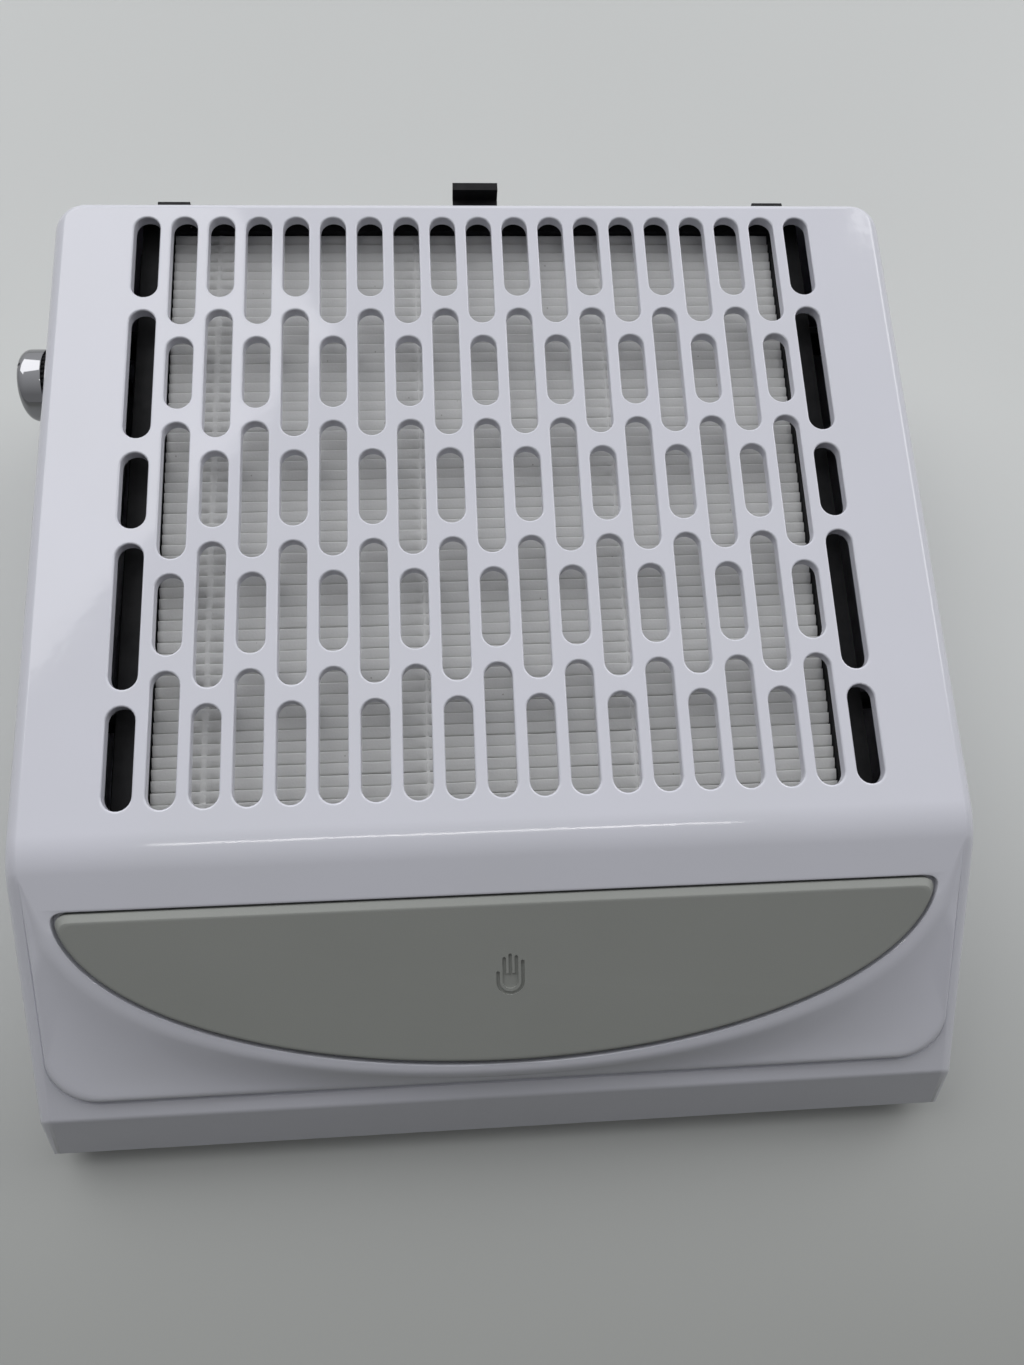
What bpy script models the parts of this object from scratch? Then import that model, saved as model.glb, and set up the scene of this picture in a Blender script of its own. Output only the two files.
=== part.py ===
"""Nail dust collector: slotted case, pleated filter cassette, blower and speed knob.

Metres, +Z up. The front with the hand rest is at -Y, the knob at -X, and the
filter cassette pulls out of the rear at +Y.
"""
import math

import bmesh
import bpy
from mathutils import Vector

# Case, outside sizes
CASE_HALF_WIDTH = 0.1250
CASE_BACK_Y = 0.0950
CASE_BOTTOM_Z = 0.0080
CASE_EDGE_RADIUS = 0.0045
CASE_CORNER_RADIUS = 0.0090
CASE_WALL = 0.0026
GRILLE_THICKNESS = 0.0030
GRILLE_TILT = math.radians(6.0)
GRILLE_SIDE_BORDER = 0.0240
GRILLE_REAR_BORDER = 0.00777
GRILLE_FRONT_BORDER = 0.01029

# Sloping front
BEND_Y = -0.0975
BEND_RADIUS = 0.0250
REST_ANGLE = math.radians(29.0)
APRON_ANGLE = math.radians(35.0)
APRON_LENGTH = 0.0750
APRON_THICKNESS = 0.0050
RIM_WIDTH = 0.0045
CREASE_RADIUS = 0.0130
SKIRT_ANGLE = math.radians(26.5)
SKIRT_LIP = 0.0010
SKIRT_CORNER = 0.0020

# Hand rest pad
PAD_SIDE_BORDER = 0.0123
PAD_FRONT_BORDER = 0.0150
PAD_TOP = 0.0154
PAD_CORNER = 0.0035
PAD_ARC_LIFT = 0.0052
PAD_BEVEL = 0.0032
PAD_RISE = 0.0012
PAD_POCKET = 0.0026
PAD_GAP = 0.0006
COLLAR_WIDTH = 0.0030

# Intake slots: lengths run from the front, and the rearmost slot of a column takes the rest
SLOT_PITCH = 0.0108
SLOT_WIDTH = 0.0075
SLOT_BRIDGE = 0.0045
SLOTS_ODD = (0.0270, 0.0405, 0.0225, 0.0405)
SLOTS_EVEN = (0.0360, 0.0225, 0.0405, 0.0225)
SLOT_END_STEPS = 4
SLOT_CUT = (-GRILLE_THICKNESS - 0.001, 0.001)

# Filter cassette, in the tilted frame of the grille
CASSETTE_SIDE_ROOM = 0.0240
CASSETTE_FRONT_ROOM = 0.0040
CASSETTE_FRONT_BAR = 0.0060
CASSETTE_TOP = -0.0088
CASSETTE_HEIGHT = 0.0170
CASSETTE_BAR = 0.0090
CASSETTE_LIP = 0.0020
CASSETTE_CLEARANCE = 0.0006
PLEAT_PITCH = 0.0032
PLEAT_SHEET = 0.0040
MEDIA_DROP = 0.0014
MEDIA_REAR_ROOM = 0.0006
BEAD_COUNT = 3
BEAD_FIRST = 0.0164
BEAD_PITCH = 0.0540
BEAD_WIDTH = 0.0016
BEAD_HEIGHT = 0.0007
FLANGE_THICKNESS = 0.0024
FLANGE_OVERLAP = 0.0013
EAR_INSET = 0.0097
EAR_WIDTH = 0.0095
EAR_HEIGHT = 0.0020
TAB_WIDTH = 0.0140
TAB_LENGTH = 0.0095
TAB_THICKNESS = 0.0020
TAB_DROP = 0.0054
TAB_LIP = 0.0045
TAB_LIP_THICKNESS = 0.0026

# Rails and front stop that carry the cassette
RAIL_WEB = 0.0020
RAIL_FLANGE = 0.0064
RAIL_THICKNESS = 0.0022
RAIL_HEIGHT = 0.0130
RAIL_CLEARANCE = 0.0004
RAIL_END_ROOM = 0.0030
RAIL_RIB = 0.0024
RAIL_RIB_ENDS = (0.0340, 0.0280)

# Base tray
BASE_FLOOR_Z = 0.0035
BASE_FLOOR = 0.0025
BASE_WALL = 0.0022
BASE_LIP_Z = 0.0120
FOOT_RADIUS = 0.0080
FOOT_INSET = (0.0290, 0.0320, 0.0230)
FOOT_PEG_RADIUS = 0.0024
SCREW_INSET = (0.0095, 0.0260, 0.0150)
SCREW_SHANK = 0.0014
SCREW_HEAD = 0.0031
SCREW_HEAD_HEIGHT = 0.0022
SCREW_LENGTH = 0.0130
SCREW_POINT = 0.0010
PILLAR_RADIUS = 0.0048
BOSS_RADIUS = 0.0045
BOSS_ROOM = 0.0026
BOSS_ROOF = 0.0020
BLOWER_POST_RADIUS = 0.0050
BLOWER_POST_CIRCLE = 0.0500
FOOT_ROUND = 0.0012
SCREW_ROOF = 0.0030
BOSS_WEB = 0.0024

# Blower
FAN_X = 0.0
FAN_Y = 0.0050
SCROLL_CLEARANCE = 0.0050
SCROLL_GROWTH = 0.0230
SCROLL_TONGUE = math.radians(40.0)
SCROLL_STEPS = 30
SCROLL_WALL = 0.0020
SCROLL_LIFT = 0.0025
SCROLL_HEIGHT = 0.0275
LID_THICKNESS = 0.0020
INLET_LIP = 0.0010
GUARD_RIM = 0.0040
GUARD_RINGS = (0.0180, 0.0330)
GUARD_BAR = 0.0020
FILTER_CLEARANCE = 0.0026
IMPELLER_RADIUS = 0.0580
BLADE_DEPTH = 0.0110
BLADE_COUNT = 20
BLADE_THICKNESS = 0.0012
BLADE_SWEEP = math.radians(14.0)
IMPELLER_LIFT = 0.0030
IMPELLER_TOP_ROOM = 0.0025
IMPELLER_DISC = 0.0020
DOME_SIDE_ROOM = 0.0030
DOME_TOP_ROOM = 0.0015
SHAFT_RADIUS = 0.0020
MOTOR_RADIUS = 0.0200
MOTOR_HEIGHT = 0.0167
MOTOR_WALL = 0.0030
MOTOR_PLATE = 0.0040
BEARING_RADIUS = 0.0050
BEARING_HEIGHT = 0.0030
ROTOR_AIR_GAP = 0.0035
MOTOR_SCREW_CIRCLE = 0.0105
MOTOR_SCREW_RADIUS = 0.0013
MOTOR_SCREW_HEAD = 0.0026
MOTOR_SCREW_HEAD_HEIGHT = 0.0016
MOTOR_SCREW_BITE = 0.0025
ROTOR_CLEARANCE = 0.0010
IMPELLER_RIM = 0.0050
IMPELLER_RIM_HEIGHT = 0.0016
DOME_ROUND = 0.0030
SHAFT_END = 0.0010

# Rear outlet and supply inlet
LOUVER_MARGIN = 0.0020
LOUVER_BARS = 8
LOUVER_BAR = 0.0022
LOUVER_FLANGE = 0.0025
LOUVER_PLATE = 0.0016
JACK_SIDE = 0.0550
JACK_RISE = 0.0120
JACK_RADIUS = 0.0060
JACK_FLANGE_RIM = 0.0025
JACK_BORE = 0.0032
JACK_PIN = 0.0011
JACK_PIN_LENGTH = 0.0050
JACK_DEPTH = 0.0130
JACK_LIP = 0.0018
JACK_END = 0.0020
JACK_NUT_WALL = 0.0014
JACK_NUT_HEIGHT = 0.0025

# Control board
BOARD_HALF_WIDTH = 0.0400
BOARD_DEPTH = 0.0440
BOARD_FRONT_ROOM = 0.0149
BOARD_LIFT = 0.0080
BOARD_THICKNESS = 0.0016
BOARD_POST_RADIUS = 0.0025
BOARD_MARGIN = 0.0050
CAPACITOR_RADIUS = 0.0050
CAPACITOR_HEIGHT = 0.0120
CAPACITOR_PLACE = (0.0180, 0.0080)
TERMINAL_SIZE = (0.0180, 0.0090, 0.0090)
TERMINAL_PLACE = (-0.0170, 0.0005)

# Speed knob
KNOB_REAR_ROOM = 0.0487
KNOB_DROP = 0.0201
KNOB_RADIUS = 0.0104
KNOB_CAP = 0.0064
KNOB_GRIP = 0.0032
KNOB_GRIP_RADIUS = 0.0099
KNOB_STANDOFF = 0.0010
POT_RADIUS = 0.0082
POT_DEPTH = 0.0090
POT_SHAFT = 0.0030
POT_SLEEVE_WALL = 0.0005
POT_BUSH_LENGTH = 0.0028
POT_NUT_WALL = 0.0016
POT_NUT_HEIGHT = 0.0022
KNOB_NUT_ROOM = 0.0006
KNOB_BUSH_ROOM = 0.0005
KNOB_ROUND = 0.0034

# Clearance between pieces that touch
GAP = 0.0003
ROUND_STEPS = 20

# Places and sizes that follow from the ones above
CASSETTE_HALF_WIDTH = CASE_HALF_WIDTH - CASSETTE_SIDE_ROOM
CASSETTE_FRONT = BEND_Y / math.cos(GRILLE_TILT) + CASSETTE_FRONT_ROOM
CASSETTE_LOW = CASSETTE_TOP - CASSETTE_HEIGHT
FLANGE_TOP = CASSETTE_TOP + CASSETTE_CLEARANCE + FLANGE_OVERLAP
MEDIA_HALF_WIDTH = CASSETTE_HALF_WIDTH - CASSETTE_BAR
MEDIA_FRONT = CASSETTE_FRONT + CASSETTE_FRONT_BAR
RAIL_LOW = CASSETTE_LOW - GAP - RAIL_THICKNESS
RAIL_INSIDE = CASSETTE_HALF_WIDTH + RAIL_CLEARANCE
RAIL_OUTSIDE = RAIL_INSIDE + RAIL_WEB
BASE_TOP = BASE_FLOOR_Z + BASE_FLOOR
SCROLL_Z = BASE_TOP + SCROLL_LIFT
SCROLL_FLOOR = SCROLL_Z + SCROLL_WALL
SCROLL_TOP = SCROLL_Z + SCROLL_HEIGHT
SCROLL_START = IMPELLER_RADIUS + SCROLL_CLEARANCE
LID_Z = SCROLL_TOP + GAP
GUARD_Z = LID_Z + LID_THICKNESS + GAP
BLADE_INNER_RADIUS = IMPELLER_RADIUS - BLADE_DEPTH
INLET_RADIUS = BLADE_INNER_RADIUS - INLET_LIP
IMPELLER_Z = SCROLL_FLOOR + IMPELLER_LIFT
IMPELLER_TOP = SCROLL_TOP - IMPELLER_TOP_ROOM
MOTOR_Z = SCROLL_FLOOR + GAP
MOTOR_TOP = MOTOR_Z + MOTOR_HEIGHT
MOTOR_INSIDE = MOTOR_RADIUS - MOTOR_WALL
DOME_RADIUS = MOTOR_RADIUS + DOME_SIDE_ROOM + IMPELLER_DISC
DOME_TOP = MOTOR_TOP + DOME_TOP_ROOM + IMPELLER_DISC
CASSETTE_DEPTH_BELOW = CASSETTE_FRONT * math.sin(GRILLE_TILT) + CASSETTE_LOW * math.cos(GRILLE_TILT)
GRILLE_MID_Z = GUARD_Z + GUARD_BAR + FILTER_CLEARANCE - CASSETTE_DEPTH_BELOW
BEND_Z = GRILLE_MID_Z + BEND_Y * math.tan(GRILLE_TILT)
PAD_HALF_WIDTH = CASE_HALF_WIDTH - PAD_SIDE_BORDER
PAD_DEPTH = APRON_LENGTH - PAD_TOP - PAD_CORNER - PAD_FRONT_BORDER
POT_BUSH = POT_SHAFT + GAP + POT_SLEEVE_WALL
POT_NUT_RADIUS = (POT_BUSH + POT_NUT_WALL) / math.cos(math.radians(30.0))
JACK_NUT_RADIUS = (JACK_RADIUS + JACK_NUT_WALL) / math.cos(math.radians(30.0))
JACK_PLACE = (JACK_SIDE - CASE_HALF_WIDTH, CASE_BACK_Y, BASE_LIP_Z + JACK_RISE)
KNOB_Y = CASE_BACK_Y - KNOB_REAR_ROOM
KNOB_Z = GRILLE_MID_Z + KNOB_Y * math.tan(GRILLE_TILT) - KNOB_DROP
KNOB_REACH = KNOB_STANDOFF + KNOB_GRIP + GAP + KNOB_CAP
BOARD_Z = BASE_TOP + BOARD_LIFT
SCREW_HEAD_TOP = BASE_LIP_Z - SCREW_ROOF - GAP
SCREW_TIP = SCREW_HEAD_TOP + SCREW_LENGTH + SCREW_POINT


def clear_scene():
    for old in list(bpy.data.objects):
        bpy.data.objects.remove(old, do_unlink=True)


def make_material(name, colour, roughness, metallic=0.0):
    material = bpy.data.materials.new(name)
    material.use_nodes = True
    shader = material.node_tree.nodes["Principled BSDF"]
    shader.inputs["Base Color"].default_value = (*colour, 1.0)
    shader.inputs["Roughness"].default_value = roughness
    shader.inputs["Metallic"].default_value = metallic
    material.diffuse_color = (*colour, 1.0)
    return material


def make_empty(name, location, rotation=(0.0, 0.0, 0.0), parent=None):
    empty = bpy.data.objects.new(name, None)
    bpy.context.collection.objects.link(empty)
    empty.location = location
    empty.rotation_euler = rotation
    empty.parent = parent
    return empty


def make_object(name, shape, material, parent, location=(0.0, 0.0, 0.0), rotation=(0.0, 0.0, 0.0)):
    bmesh.ops.recalc_face_normals(shape, faces=shape.faces)
    mesh = bpy.data.meshes.new(name)
    shape.to_mesh(mesh)
    shape.free()
    mesh.shade_smooth()
    mesh.set_sharp_from_angle(angle=math.radians(32.0))
    item = bpy.data.objects.new(name, mesh)
    bpy.context.collection.objects.link(item)
    item.parent = parent
    item.location = location
    item.rotation_euler = rotation
    if material is not None:
        mesh.materials.append(material)
    return item


def combine(item, shape, operation, name, parent=None, location=(0.0, 0.0, 0.0), rotation=(0.0, 0.0, 0.0)):
    """Cut a hidden shape from an object, or join it on, in the object's own frame."""
    tool = make_object(item.name + "_" + name, shape, None, parent or item.parent, location, rotation)
    tool.hide_render = True
    tool.display_type = "WIRE"
    step = item.modifiers.new(name, "BOOLEAN")
    step.operation = operation
    step.solver = "EXACT"
    step.object = tool
    return tool


def even_shading(item):
    """Keep broad flat faces flat in shading after the cuts."""
    step = item.modifiers.new("shading", "WEIGHTED_NORMAL")
    step.keep_sharp = True


def cut(item, shape, name, parent=None, location=(0.0, 0.0, 0.0), rotation=(0.0, 0.0, 0.0)):
    return combine(item, shape, "DIFFERENCE", name, parent, location, rotation)


def join(item, shape, name, parent=None, location=(0.0, 0.0, 0.0), rotation=(0.0, 0.0, 0.0)):
    return combine(item, shape, "UNION", name, parent, location, rotation)


def add_prism(shape, outline, low, high):
    """Extrude a plan outline (x, y) from one height to another."""
    bottom = [shape.verts.new((x, y, low)) for x, y in outline]
    top = [shape.verts.new((x, y, high)) for x, y in outline]
    shape.faces.new(bottom)
    shape.faces.new(top)
    for i, vert in enumerate(bottom):
        j = (i + 1) % len(bottom)
        shape.faces.new((vert, bottom[j], top[j], top[i]))
    return shape


def prism(outline, low, high):
    return add_prism(bmesh.new(), outline, low, high)


def add_side_profile(shape, outline, left, right):
    """Extrude a side outline (y, z) across X."""
    near = [shape.verts.new((left, y, z)) for y, z in outline]
    far = [shape.verts.new((right, y, z)) for y, z in outline]
    shape.faces.new(near)
    shape.faces.new(far)
    for i, vert in enumerate(near):
        j = (i + 1) % len(near)
        shape.faces.new((vert, near[j], far[j], far[i]))
    return shape


def side_profile(outline, left, right):
    return add_side_profile(bmesh.new(), outline, left, right)


def add_box(shape, low, high):
    outline = ((low[0], low[1]), (high[0], low[1]), (high[0], high[1]), (low[0], high[1]))
    return add_prism(shape, outline, low[2], high[2])


def box(low, high):
    return add_box(bmesh.new(), low, high)


def circle(radius, steps=ROUND_STEPS, x=0.0, y=0.0, turn=0.0):
    angles = [turn + 2.0 * math.pi * i / steps for i in range(steps)]
    return [(x + radius * math.cos(a), y + radius * math.sin(a)) for a in angles]


def add_turned(shape, profile, steps=ROUND_STEPS, x=0.0, y=0.0):
    """Revolve a profile (radius, height) about a vertical axis at x, y."""
    rings = []
    for radius, height in profile:
        if radius == 0.0:
            rings.append([shape.verts.new((x, y, height))])
        else:
            rings.append([shape.verts.new((px, py, height)) for px, py in circle(radius, steps, x, y)])
    closed = len(rings[0]) > 1
    pairs = list(zip(rings, rings[1:]))
    if closed:
        pairs.append((rings[-1], rings[0]))
    for low, high in pairs:
        for i in range(steps):
            j = (i + 1) % steps
            corners = [low[i % len(low)], low[j % len(low)], high[j % len(high)], high[i % len(high)]]
            shape.faces.new(list(dict.fromkeys(corners)))
    return shape


def turned(profile, steps=ROUND_STEPS, x=0.0, y=0.0):
    return add_turned(bmesh.new(), profile, steps, x, y)


def add_rod(shape, radius, low, high, steps, x, y):
    return add_turned(shape, ((0.0, low), (radius, low), (radius, high), (0.0, high)), steps, x, y)


def tube(inner, outer, low, high, steps=ROUND_STEPS, x=0.0, y=0.0):
    return turned(((inner, low), (outer, low), (outer, high), (inner, high)), steps, x, y)


def rod(radius, low, high, steps=ROUND_STEPS, x=0.0, y=0.0):
    return add_rod(bmesh.new(), radius, low, high, steps, x, y)


def grille_height(y):
    """Height of the grille's outer plane at a depth y."""
    return GRILLE_MID_Z + y * math.tan(GRILLE_TILT)


def tilted_y(y, n):
    """Distance along the grille of the upright plane at depth y, at n above the grille."""
    return (y + n * math.sin(GRILLE_TILT)) / math.cos(GRILLE_TILT)


def bend_arc(steps=4):
    """Soft bend from the grille to the rest platform, from the rear to the front."""
    tangent = BEND_RADIUS * math.tan((REST_ANGLE - GRILLE_TILT) / 2.0)
    start_y = BEND_Y + tangent * math.cos(GRILLE_TILT)
    start_z = BEND_Z + tangent * math.sin(GRILLE_TILT)
    points = []
    for i in range(steps + 1):
        angle = GRILLE_TILT + (REST_ANGLE - GRILLE_TILT) * i / steps
        y = start_y - BEND_RADIUS * (math.sin(angle) - math.sin(GRILLE_TILT))
        z = start_z + BEND_RADIUS * (math.cos(angle) - math.cos(GRILLE_TILT))
        points.append((y, z))
    return points


BEND_POINTS = bend_arc()
APRON_TOP = BEND_POINTS[-1]
RIM_EDGE = (BEND_Y - APRON_LENGTH * math.cos(APRON_ANGLE), BEND_Z - APRON_LENGTH * math.sin(APRON_ANGLE))
APRON_RUN = math.hypot(APRON_TOP[0] - RIM_EDGE[0], APRON_TOP[1] - RIM_EDGE[1])
APRON_STEP = ((RIM_EDGE[0] - APRON_TOP[0]) / APRON_RUN, (RIM_EDGE[1] - APRON_TOP[1]) / APRON_RUN)
APRON_SLOPE = APRON_STEP[1] / APRON_STEP[0]
APRON_DROP = APRON_THICKNESS * math.hypot(1.0, APRON_SLOPE)
SKIRT_LEAN = math.tan(SKIRT_ANGLE)
SKIRT_FOOT_Z = CASE_BOTTOM_Z + SKIRT_LIP
SKIRT_FOOT = (RIM_EDGE[0] - (RIM_EDGE[1] - SKIRT_FOOT_Z) * SKIRT_LEAN, SKIRT_FOOT_Z)
FOOT_X = CASE_HALF_WIDTH - FOOT_INSET[0]
FOOT_Y = (RIM_EDGE[0] + FOOT_INSET[1], CASE_BACK_Y - FOOT_INSET[2])
SCREW_X = CASE_HALF_WIDTH - SCREW_INSET[0]
SCREW_Y = (RIM_EDGE[0] + SCREW_INSET[1], CASE_BACK_Y - SCREW_INSET[2])
BOARD_Y = (RIM_EDGE[0] + BOARD_FRONT_ROOM, RIM_EDGE[0] + BOARD_FRONT_ROOM + BOARD_DEPTH)


def on_apron(distance):
    """Point (y, z) on the border plane, a distance down from the bend."""
    return (APRON_TOP[0] + APRON_STEP[0] * distance, APRON_TOP[1] + APRON_STEP[1] * distance)


def on_rest(distance):
    """Point (y, z) on the rest platform, a distance down from the sharp bend line."""
    return (BEND_Y - distance * math.cos(REST_ANGLE), BEND_Z - distance * math.sin(REST_ANGLE))


def case_path(half_width, back_y, corner_radius, side_depths, steps=5):
    """Plan path with outward normals, from the front left round the back to the front right."""
    centre_x = half_width - corner_radius
    centre_y = back_y - corner_radius
    path = [(-half_width, y, -1.0, 0.0) for y in side_depths]
    for side in (-1.0, 1.0):
        for i in range(steps + 1):
            turn = math.radians(90.0) * i / steps
            if side < 0.0:
                nx, ny = -math.cos(turn), math.sin(turn)
            else:
                nx, ny = math.sin(turn), math.cos(turn)
            path.append((side * centre_x + corner_radius * nx, centre_y + corner_radius * ny, nx, ny))
    path += [(half_width, y, 1.0, 0.0) for y in reversed(side_depths)]
    return path


def case_skin(half_width, back_y, corner_radius, edge_radius, top_drop, stations, bottom_z, fillet_steps=4):
    """Walls and rounded edges of the case. Stations (y, z, inset) run up the sides from the front.

    Returns the shape and the inner vertices, which border the top, from front left to front right.
    """
    shape = bmesh.new()
    path = case_path(half_width, back_y, corner_radius, [station[0] for station in stations])
    columns = []
    for i, (x, y, nx, ny) in enumerate(path):
        mirrored = len(path) - 1 - i
        index = min(i, mirrored)
        on_side = index < len(stations)
        inset = stations[index][2] if on_side else edge_radius
        drop = min(inset, stations[index][1] - bottom_z - 0.0002) if on_side else inset
        column = [shape.verts.new((x, y, bottom_z))]
        for k in range(fillet_steps + 1):
            turn = math.radians(90.0) * k / fillet_steps
            px = x - nx * inset * (1.0 - math.cos(turn))
            py = y - ny * inset * (1.0 - math.cos(turn))
            top = stations[index][1] if on_side else grille_height(py) - top_drop
            column.append(shape.verts.new((px, py, top - drop * (1.0 - math.sin(turn)))))
        columns.append(column)
    for left, right in zip(columns, columns[1:]):
        for a, b, c, d in zip(left, right, right[1:], left[1:]):
            shape.faces.new((a, b, c, d))
    shape.faces.new([column[0] for column in columns])
    shape.faces.new(columns[0] + list(reversed(columns[-1])))
    return shape, [column[-1] for column in columns]


RIDGE_STEPS = 36
SIDE_STEPS = 3
ARC_STEPS = 5


def pad_arc(grow, steps):
    """Curved edge of the pad, as (x, distance down the rest), from right to left.

    It is part of an ellipse whose middle lies uphill of the pad's corners.
    """
    deep = PAD_DEPTH + PAD_ARC_LIFT
    wide = PAD_HALF_WIDTH / math.sqrt(1.0 - (PAD_ARC_LIFT / deep) ** 2) + grow
    deep += grow
    first = math.asin(PAD_ARC_LIFT / deep)
    middle = PAD_TOP + PAD_CORNER - PAD_ARC_LIFT
    points = []
    for i in range(steps + 1):
        turn = first + (math.pi - 2.0 * first) * i / steps
        points.append((wide * math.cos(turn), middle + deep * math.sin(turn)))
    return points


def ridge_points():
    """Edge of the rest platform on its own plane, as (x, y, z), from left to right."""
    arc = pad_arc(COLLAR_WIDTH + PAD_GAP, RIDGE_STEPS)
    return [(x, *on_rest(distance)) for x, distance in reversed(arc)]


def crease_points(ridge):
    """Foot of the apron on the border plane, matched one to one with the ridge."""
    inner = CASE_HALF_WIDTH - CASE_EDGE_RADIUS
    front = APRON_RUN - RIM_WIDTH
    corner = front - CREASE_RADIUS
    first = corner / (SIDE_STEPS + 1)
    flat_from = SIDE_STEPS + ARC_STEPS
    half = []
    for i in range(RIDGE_STEPS // 2 + 1):
        if i <= SIDE_STEPS:
            x = -inner
            distance = first + (corner - first) * i / SIDE_STEPS
        elif i <= flat_from:
            turn = math.radians(90.0) * (i - SIDE_STEPS) / ARC_STEPS
            x = -inner + CREASE_RADIUS * (1.0 - math.cos(turn))
            distance = corner + CREASE_RADIUS * math.sin(turn)
        else:
            x = (-inner + CREASE_RADIUS) * ridge[i][0] / ridge[flat_from][0]
            distance = front
        half.append((x, *on_apron(distance)))
    return half + [(-x, y, z) for x, y, z in reversed(half[:-1])]


def outer_case():
    """Closed outer form of the cover: grille plane, bend, rest platform, apron, rim and skirt."""
    ridge = ridge_points()
    crease = crease_points(ridge)
    stations = [(*SKIRT_FOOT, SKIRT_CORNER), (*RIM_EDGE, CASE_EDGE_RADIUS)]
    stations += [(y, z, CASE_EDGE_RADIUS) for x, y, z in reversed(crease[:SIDE_STEPS + 1])]
    stations += [(y, z, CASE_EDGE_RADIUS) for y, z in reversed(BEND_POINTS)]
    shape, inner = case_skin(CASE_HALF_WIDTH, CASE_BACK_Y, CASE_CORNER_RADIUS, CASE_EDGE_RADIUS, 0.0,
                             stations, CASE_BOTTOM_Z)
    last = len(inner) - 1
    foot, rim = 0, 1
    apron_end = 2 + SIDE_STEPS
    bend_start = apron_end + 1
    bend_end = len(stations) - 1

    def strip(i, j):
        shape.faces.new((inner[i], inner[j], inner[last - j], inner[last - i]))

    strip(foot, rim)
    for i in range(bend_start, bend_end):
        strip(i, i + 1)
    shape.faces.new(inner[bend_end:last - bend_end + 1])

    ridge_verts = [shape.verts.new(point) for point in ridge]
    side_left = [inner[apron_end - i] for i in range(SIDE_STEPS + 1)]
    side_right = [inner[last - apron_end + i] for i in range(SIDE_STEPS + 1)]
    middle = [shape.verts.new(point) for point in crease[SIDE_STEPS + 1:-SIDE_STEPS - 1]]
    crease_verts = side_left + middle + list(reversed(side_right))
    top_left = inner[bend_start]
    top_right = inner[last - bend_start]
    shape.faces.new([top_left] + ridge_verts + [top_right])
    shape.faces.new((top_left, crease_verts[0], ridge_verts[0]))
    shape.faces.new((top_right, ridge_verts[-1], crease_verts[-1]))
    for i in range(RIDGE_STEPS):
        a, b = ridge_verts[i], ridge_verts[i + 1]
        c, d = crease_verts[i + 1], crease_verts[i]
        shape.faces.new((a, d, c))
        shape.faces.new((a, c, b))
    border = crease_verts[SIDE_STEPS:len(crease_verts) - SIDE_STEPS]
    shape.faces.new(border + [inner[last - rim], inner[rim]])
    return shape


def skirt_inside(z):
    """Depth of the skirt's inner face at a height."""
    return RIM_EDGE[0] + (z - RIM_EDGE[1]) * SKIRT_LEAN + CASE_WALL * math.hypot(1.0, SKIRT_LEAN)


def apron_inside(z):
    """Depth of the apron's inner face at a height."""
    return APRON_TOP[0] + (z + APRON_DROP - APRON_TOP[1]) / APRON_SLOPE


def inner_case():
    """Hollow of the cover, a wall inside its outer form and open below."""
    slope = APRON_SLOPE
    drop = APRON_DROP
    side = CASE_WALL * math.hypot(1.0, SKIRT_LEAN)
    rise = (side * slope - drop) / (1.0 - SKIRT_LEAN * slope)
    knee_z = RIM_EDGE[1] + rise
    knee = (skirt_inside(knee_z), knee_z)
    top_drop = GRILLE_THICKNESS / math.cos(GRILLE_TILT)
    bottom = CASE_BOTTOM_Z - 0.004
    foot_z = bottom + 0.001
    foot = (skirt_inside(foot_z), foot_z)
    rise_at = APRON_TOP[1] - APRON_TOP[0] * slope - drop
    turn_y = (rise_at - GRILLE_MID_Z + top_drop) / (math.tan(GRILLE_TILT) - slope)
    turn = (turn_y, grille_height(turn_y) - top_drop)
    radius = CASE_EDGE_RADIUS - CASE_WALL
    stations = [(*foot, 0.0005), (*knee, radius), (*turn, radius)]
    shape, inner = case_skin(CASE_HALF_WIDTH - CASE_WALL, CASE_BACK_Y - CASE_WALL,
                             CASE_CORNER_RADIUS - CASE_WALL, radius, top_drop, stations, bottom, 2)
    last = len(inner) - 1
    for i in range(2):
        shape.faces.new((inner[i], inner[i + 1], inner[last - i - 1], inner[last - i]))
    shape.faces.new(inner[2:last - 1])
    return shape


def slot_outline(x, low, high):
    """Obround from low to high along the grille."""
    radius = SLOT_WIDTH / 2.0
    points = []
    for centre, start in ((high - radius, 0.0), (low + radius, math.pi)):
        for i in range(SLOT_END_STEPS + 1):
            turn = start + math.pi * i / SLOT_END_STEPS
            points.append((x + radius * math.cos(turn), centre + radius * math.sin(turn)))
    return points


def intake_slots():
    """As many columns as the grille's width holds, staggered in odd and even columns."""
    shape = bmesh.new()
    half_field = CASE_HALF_WIDTH - GRILLE_SIDE_BORDER - SLOT_WIDTH / 2.0
    beside = int(half_field / SLOT_PITCH + 0.01)
    front = BEND_Y / math.cos(GRILLE_TILT) + GRILLE_FRONT_BORDER
    back = CASE_BACK_Y / math.cos(GRILLE_TILT) - GRILLE_REAR_BORDER
    for column in range(-beside, beside + 1):
        lengths = SLOTS_ODD if (column + beside) % 2 == 0 else SLOTS_EVEN
        low = front
        for length in lengths:
            add_prism(shape, slot_outline(column * SLOT_PITCH, low, low + length), *SLOT_CUT)
            low += length + SLOT_BRIDGE
        add_prism(shape, slot_outline(column * SLOT_PITCH, low, back), *SLOT_CUT)
    return shape


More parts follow.
